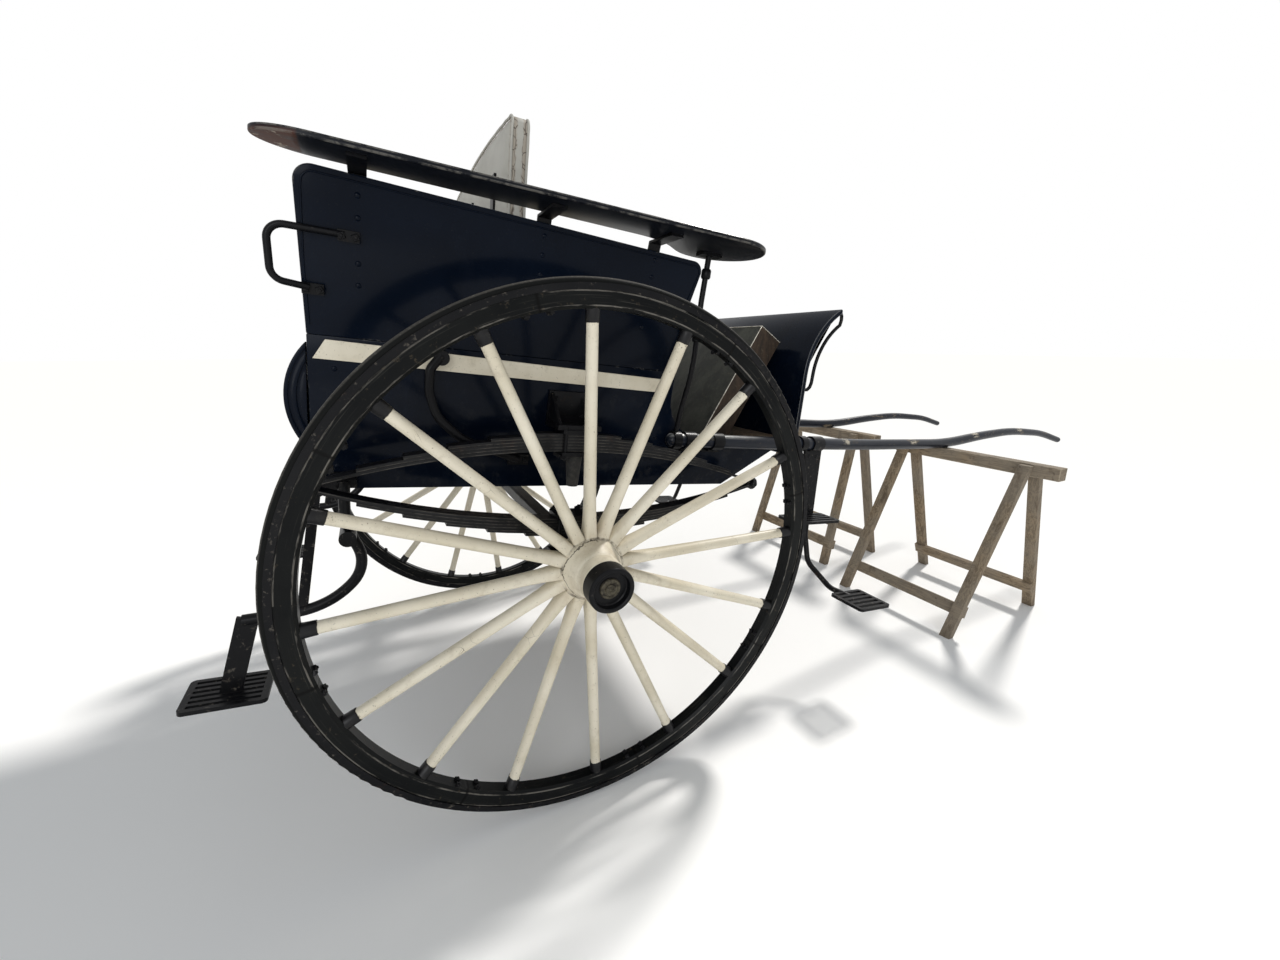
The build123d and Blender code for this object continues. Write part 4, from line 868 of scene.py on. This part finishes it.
spokeRing = spokeRecipe()
spokeObject = hiddenObject("spokeShape", spokeMesh())
for side, word in ((-1, "right"), (1, "left")):
    place, turned, rider = wheelMatrix(side), stance["turned"][side], "wheel_" + word
    barrel = meshFrom("barrel", lathe(wheel["hub"], 64), 30)
    values = {"Spoke": spokeObject, "Count": wheel["spokes"], "Material": finishes["wheelCream"]}
    mesh = spokeRing.run("spokedHub", barrel, values)
    mesh.transform(place @ Matrix.Rotation(math.radians(turned), 4, "Z"))
    addPiece("spokedHub_" + word, mesh, rider, None, ["hub_" + word])
    fasten("felloeBolts_" + word, "nut", wheel["bolt"], felloeJoints(place, turned), rider, "rimIron",
           5)
    cup = lathe(wheel["cup"], 56)
    cup.transform(place)
    addPiece("capCup_" + word, meshFrom("cup", cup, 30), rider, "iron", ["cap_" + word])
    nut = lathe(wheel["nut"], 40)
    nut.transform(place)
    addPiece("axleNut_" + word, meshFrom("axleNut", nut, 30), rider, "nut")
    screw = headOnWheel(place, *wheel["screwWay"], wheel["screwRadius"], wheel["screwOut"], 1)
    fasten("capScrew_" + word, "screw", wheel["screw"], [screw], rider, "rimIron", 2)
bpy.data.objects.remove(spokeObject)
print("wheels made")

# body

sides = {"foot": (142, 450), "waist": (500, 505), "rail": (805, 580)}  # height and half width at each


def sideRun(z):  # the lower or the upper side
    lower = z <= sides["waist"][0]
    return (sides["foot"], sides["waist"]) if lower else (sides["waist"], sides["rail"])


def sideNormal(z, side):
    (z0, y0), (z1, y1) = sideRun(z)
    lean = math.atan2(y1 - y0, z1 - z0)
    return Vector((0, side * math.cos(lean), -math.sin(lean)))


def onSide(x, z, side, out=0.0):  # a place on the side's outer face
    (z0, y0), (z1, y1) = sideRun(z)
    half = y0 + (y1 - y0) * (z - z0) / (z1 - z0)
    return onCart(*(Vector((x, side * half, z)) + sideNormal(z, side) * out))


def headsOnSide(table):  # table of (x, z, out): right and left
    return [(onSide(x, z, side, out), wayOnCart(*sideNormal(z, side)))
            for side in (-1, 1) for x, z, out in table]


# arrises eased by so many millimetres
easing = {"side_lower_right": 2.5, "side_lower_left": 2.5, "side_upper_right": 3, "side_upper_left": 3,
          "cross_boards": 1.5, "dash": 2, "foot_rest": 2, "splinter_bar": 1.5, "trestle_beams": 2.5,
          "trestle_frames": 2, "wing_right": 3.6, "wing_left": 3.6, "belt_rails": 1.2, "seat_board": 1.5,
          "tailboard": 1.0}
for node, width in easing.items():
    soften(node, width, slimPost if node == "dash" else None)

# a bead round the upper side: up its rear, along its top and down its front
panel = {"rear": -622, "rearTop": 820, "rearCorner": 35, "front": 334, "frontTop": 800, "frontCorner": 28,
         "inset": 13, "out": 0.6, "radius": 1.9}


def upperBead(side):
    i, rear, front = panel["inset"], panel["rearCorner"], panel["frontCorner"]
    run = [(-604, 520), (-609, 640), (-608, panel["rearTop"] - 44)]
    run += arc((panel["rear"] + rear + 2, panel["rearTop"] - rear), rear - i, 180, 90)
    run += arc((panel["front"] - front, panel["frontTop"] - front), front - i + 2, 90, 0)
    run += [(316 - i, 690), (318 - i, 560), (309 - i, 520)]
    return [onSide(x, z, side, panel["out"]) for x, z in run]


beads("upperBeads", [upperBead(-1), upperBead(1)], panel["radius"], "root", "coach")

# rows of (x, z, out) on the sides, where out is the thickness of the plate below; the wings' straps stand
# at strapsAt
strapsAt = (-510, -120, 180)
plateOut = {"stay": 10.3, "seat": 9.3, "step": 8.3}
headSize = {"panel": 6, "plate": 8, "carriage": 7}
panelHeads = [(x, z, 0) for x in strapsAt for z in (612, 655, 698, 741, 782)]
panelHeads += [(-560, z, 0) for z in (200, 330, 430)] + [(292, z, 0) for z in (200, 300, 400)]
plateNuts = [(x, 225, plateOut["stay"]) for x in (-145, -108)]
plateNuts += [(x, z, plateOut["stay"]) for x, z in ((-540, 705), (-514, 705), (-607, 594), (-581, 594))]
plateNuts += [(x, z, plateOut["seat"]) for z in (352, 398) for x in (-40, 40)]
plateNuts += [(x, 166, plateOut["step"]) for x in (-562, -528)]
fasten("sideBolts", "dome", headSize["panel"], headsOnSide(panelHeads), "root", "coach")
fasten("ironNuts", "nut", headSize["plate"], headsOnSide(plateNuts), "root", "iron", 7)
print("body made")

# springs, steps and shafts: nuts and heads

# clamps: height of each nut, and whether it faces up or down
springNuts = {"y": 560, "x": 36, "out": 28.5, "clamps": ((-25.1, -1), (93.5, 1), (256.2, -1)),
              "eyeX": 610, "eyeOut": 22.6, "eyeZ": 175.1, "size": 11}
places = []
for side in (-1, 1):
    y = side * springNuts["y"]
    for x in (-springNuts["x"], springNuts["x"]):
        for out in (-springNuts["out"], springNuts["out"]):
            places += [(onCart(x, y + out, z), wayOnCart(0, 0, way)) for z, way in springNuts["clamps"]]
    for x in (-springNuts["eyeX"], springNuts["eyeX"]):
        places += [(onCart(x, y + out * springNuts["eyeOut"], springNuts["eyeZ"]), wayOnCart(0, out, 0))
                   for out in (-1, 1)]
fasten("springNuts", "nut", springNuts["size"], places, "root", "iron", 11)

up, down, outward = (0, 0, 1), (0, 0, -1), (0, 1, 0)
bolts = [((x, y, 840), up) for x in strapsAt for y in (612, 662)]
bolts += [((x, 575, 840), up) for x in (326, 366)]  # the wings' front stays
bolts += [((x, 456, z), outward) for x, z in ((972, 246), (1008, 246), (1006, 60))]  # front steps
bolts += [((x, 499, 268), down) for x in (400, 505)]  # the shafts' seats
bolts += [((x, y, 135.7), down) for x in (-535, -470) for y in (310, 350)]  # rear steps
places = [(onCart(x, side * y, z), wayOnCart(a, side * b, c))
          for side in (-1, 1) for (x, y, z), (a, b, c) in bolts]
fasten("carriageBolts", "dome", headSize["carriage"], places, "root", "iron", 13)

stay = {"knuckles": ((346, 571, 776), (346, 561, 604)), "lean": math.atan2(0.06, 1),
        "collar": [(8.2, -13), (11, -13), (13.5, -9), (13.5, 9), (11, 13), (8.2, 13)]}
collars = bmesh.new()
for side in (-1, 1):
    tilt = Matrix.Rotation(-side * stay["lean"], 4, "X")
    for x, y, z in stay["knuckles"]:
        middle = Matrix.Translation(Vector((x, side * y, z)) / 1000)
        absorb(collars, lathe(stay["collar"], 20), cartMatrix @ middle @ tilt)
addPiece("stayCollars", meshFrom("stayCollars", collars), "root", "iron")
print("fittings made")

# foot rest and dash trims

# corner: its upper rear edge, from which it runs down at an angle
rest = {"corner": (796, 701), "lean": 63.1, "length": 475, "deep": 107, "half": 295, "radius": 1.8}


def restCorner(side, along, deep):
    lean = math.radians(rest["lean"])
    x, z = rest["corner"]
    slope = Vector((-math.cos(lean), 0, -math.sin(lean)))
    ahead = Vector((math.sin(lean), 0, -math.cos(lean)))
    place = Vector((x, side * rest["half"], z)) + slope * (rest["length"] * along) + ahead * (rest["deep"] * deep)
    return onCart(*place)


trims = [[restCorner(side, 1, 0), restCorner(side, 0, 0), restCorner(side, 0, 1)] for side in (-1, 1)]
trims += [[restCorner(-1, along, 0), restCorner(1, along, 0)] for along in (0, 1)]
beads("restEdging", trims, rest["radius"], "root", "pale", 8)


def dashTip(offset, past=0.0):  # a place in front of the curl's face, at its tip or an angle past it
    a = math.radians(180 - dash["sweep"]) - past
    r = dash["radius"] - offset
    return dash["x"] + dash["radius"] + r * math.cos(a), dash["bendZ"] + r * math.sin(a)


def dashCurl(offset, first, steps):  # from the tip down to where the curl starts
    return [dashTip(offset, -math.radians(dash["sweep"]) * k / steps) for k in range(first, steps + 1)]


def dashIronRun(side):  # from the tip, at an even gap in front of the curl, back to a foot on the front
    out, front = dash["ironOut"], dash["x"]
    run = [dashTip(6, -0.02), dashTip(14, 0.011), dashTip(27, 0.010), dashTip(40, -0.016)]
    run += dashCurl(out, 1, 14)
    run += [(front + out - 1, 515), (front + out - 6, 499), (front + out - 17, 489)]
    run.append((front + dash["lip"] - 1, dash["ironFoot"]))
    return [onCart(x, side * (dash["half"] - dash["ironIn"]), z) for x, z in run]


def dashEdgeRun(side, offset):
    run = dashCurl(offset, 0, 12) + [(dash["x"] + offset, dash["edgeFoot"])]
    return [onCart(x, side * dash["half"], z) for x, z in run]


irons = beads("dashIronRods", [dashIronRun(side) for side in (-1, 1)], dash["ironRod"], "root", "rimIron",
              12)
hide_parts("dash_irons")
feet = [(onCart(dash["x"] + dash["lip"] + 0.5, side * (dash["half"] - dash["ironIn"]), dash["ironFoot"]),
         wayOnCart(1, 0, 0)) for side in (-1, 1)]
fasten("dashIronFeet", "dome", dash["ironBolt"], feet, "root", "iron", 17)
edges = [dashEdgeRun(side, offset) for side in (-1, 1) for offset in (1, dash["lip"] - 1)]
beads("dashEdges", edges, dash["edge"], "root", "coachEdge", 8)
x, z = dashTip(7)
tip = [onCart(x, y, z) for y in (1 - dash["half"], 0, dash["half"] - 1)]
beads("dashBinding", [tip], dash["binding"], "root", "coach", 16)
print("trims made")

# padded pieces: simulated level, then tipped onto the cart

padding = {"voxel": 0.008, "frames": 20, "cap": 0.024, "uneven": 0.0014, "seed": 5,
           "seamReach": 0.016, "seamStep": 0.012}
noise.seed_set(padding["seed"])  # without a seed the unevenness is drawn by the clock
stuffing = {"quality": 5, "mass": 0.3, "tension_stiffness": 30, "compression_stiffness": 30,
            "bending_stiffness": 1.5, "use_pressure": True, "uniform_pressure_force": 4.0}


def puffed(name, shape, flatBelow=None, cap=padding["cap"]):  # swells; returns the object and its first points
    mesh = bpy.data.meshes.new(name)
    shape.to_mesh(mesh)
    shape.free()
    base = hiddenObject(name, mesh)
    remesh = base.modifiers.new("remesh", "REMESH")
    remesh.mode = "VOXEL"
    remesh.voxel_size = padding["voxel"]
    result = plainMesh(base)
    base.modifiers.clear()
    base.data = result
    start = [v.co.copy() for v in base.data.vertices]
    cloth = base.modifiers.new("cloth", "CLOTH")
    for key, value in stuffing.items():
        setattr(cloth.settings, key, value)
    cloth.settings.effector_weights.gravity = 0
    cloth.point_cache.frame_start = 1
    cloth.point_cache.frame_end = padding["frames"]
    for k in range(1, padding["frames"] + 1):
        scene.frame_set(k)
    done = base.evaluated_get(bpy.context.evaluated_depsgraph_get())
    after = [v.co.copy() for v in done.data.vertices]
    base.modifiers.clear()
    scene.frame_set(1)
    for v, a, b in zip(base.data.vertices, start, after):
        move = b - a
        if move.length > cap:
            move *= cap / move.length
        v.co = a + move
    if flatBelow is not None:
        for v in base.data.vertices:
            v.co.z = max(v.co.z, flatBelow / 1000)
    return base, start


def finder(points):
    tree = kdtree.KDTree(len(points))
    for k, p in enumerate(points):
        tree.insert(p, k)
    tree.balance()
    return tree


def seamPath(base, start, loop):  # where a line drawn on the unswollen piece ended up
    tree = finder(start)
    found = []
    for p in loop:
        near = tree.find_n(p, 4)
        shift = sum((base.data.vertices[k].co - start[k] for _, k, _ in near), Vector()) / len(near)
        found.append(p + shift)
    return found


def markSeams(mesh, lines):  # 1 on a seam, fading to 0 away from it
    tree = finder([p for line in lines for p in line])
    seam = mesh.attributes.new("seam", "FLOAT", "POINT")
    values = [math.exp(-(tree.find(v.co)[2] / padding["seamReach"]) ** 2) for v in mesh.vertices]
    seam.data.foreach_set("value", values)


def along(points):  # a closed loop, in short steps
    found = []
    for a, b in zip(points, points[1:] + points[:1]):
        count = max(1, int((b - a).length / padding["seamStep"]))
        found += [a.lerp(b, k / count) for k in range(count)]
    return found


def padPiece(name, base, start, loops, finish, node, welt):
    lines = [seamPath(base, start, along(loop)) for loop in loops]
    for v in base.data.vertices:  # slight unevenness of old stuffing
        v.co += Vector(noise.noise_vector(v.co * 7)) * padding["uneven"]
    markSeams(base.data, lines)
    smooth(base.data, 180)
    base.data.transform(cartMatrix)
    mesh = base.data
    bpy.data.objects.remove(base)
    piece = addPiece(name, mesh, "root", finish, [node])
    tipped = [[cartMatrix @ p for p in line] for line in lines]
    beads(name + "Welt", tipped, welt, "root", finish, 8, closed=True)


# shy: how much smaller than the cushion the shape starts, at its sides, foot and top
seats = {"front": (-115, 295), "rear": (-596, -245), "half": 512, "z": (640.6, 706), "corner": 30,
         "shy": (6, 2, 8), "fill": 0.7, "welt": 4.5}


def seatShape(x, y, z):
    shape = bmesh.new()
    bmesh.ops.create_cube(shape, size=1)
    for v in shape.verts:
        v.co = Vector([a + (b - a) * (c + 0.5) for c, (a, b) in zip(v.co, (x, y, z))]) / 1000
    upright = [e for e in shape.edges if abs(e.verts[0].co.z - e.verts[1].co.z) > 0.01]
    bmesh.ops.bevel(shape, geom=upright, offset=seats["corner"] / 1000, segments=5, profile=0.5, affect="EDGES")
    return shape


def seatLoop(x, y, height):  # its outline with round corners
    corner, found = seats["corner"], []
    for cx, cy, start in ((x[1], y[1], 0), (x[0], y[1], 90), (x[0], y[0], 180), (x[1], y[0], 270)):
        mx = cx - math.copysign(corner, cx - sum(x) / 2)
        my = cy - math.copysign(corner, cy)
        for a in [math.radians(start + turn) for turn in (0, 30, 60, 90)]:
            found.append(Vector((mx + corner * math.cos(a), my + corner * math.sin(a), height)) / 1000)
    return found


beside, under, above = seats["shy"]
for word in ("front", "rear"):
    x = (seats[word][0] + beside, seats[word][1] - beside)
    y = (-seats["half"] + beside, seats["half"] - beside)
    z = (seats["z"][0] + under, seats["z"][1] - above)
    base, start = puffed(word + "Seat", seatShape(x, y, z), seats["z"][0])
    loops = [seatLoop(x, y, height) for height in z]
    padPiece(word + "Seat", base, start, loops, "cushion", word + "_cushion", seats["welt"])
    print(word, "seat made")

back = {"x": (-180, -141), "z": (741, 1077), "half": 466, "crown": 28, "shoulder": 24, "cap": 0.012,
        "fill": 0.8, "welt": 3.4}


def backOutline():  # from behind: square foot, round shoulders, low crown
    half, r, (low, high) = back["half"], back["shoulder"], back["z"]
    inset, spring = half - r, high - r
    turns = [math.pi / 2 * k / 6 for k in range(7)]
    found = [(-half, low), (half, low)]
    found += [(inset + r * math.cos(a), spring + r * math.sin(a)) for a in turns]
    found += [(inset - 2 * inset * k / 24, high + back["crown"] * (1 - (1 - 2 * k / 24) ** 2))
              for k in range(1, 24)]
    found += [(-inset - r * math.sin(a), spring + r * math.cos(a)) for a in turns]
    return found


outline = backOutline()
shape = bmesh.new()
face = shape.faces.new([shape.verts.new((back["x"][0] / 1000, y / 1000, z / 1000)) for y, z in outline])
pushFace(shape, face, 0, back["x"][1] / 1000)
bmesh.ops.recalc_face_normals(shape, faces=shape.faces)
base, start = puffed("backPad", shape, None, back["cap"])
loops = [[Vector((x, y, z)) / 1000 for y, z in outline] for x in back["x"]]
padPiece("backPad", base, start, loops, "canvas", "backrest", back["welt"])
print("back rest made")

for made in heads.values():
    bpy.data.objects.remove(made)

print("pieces ready")
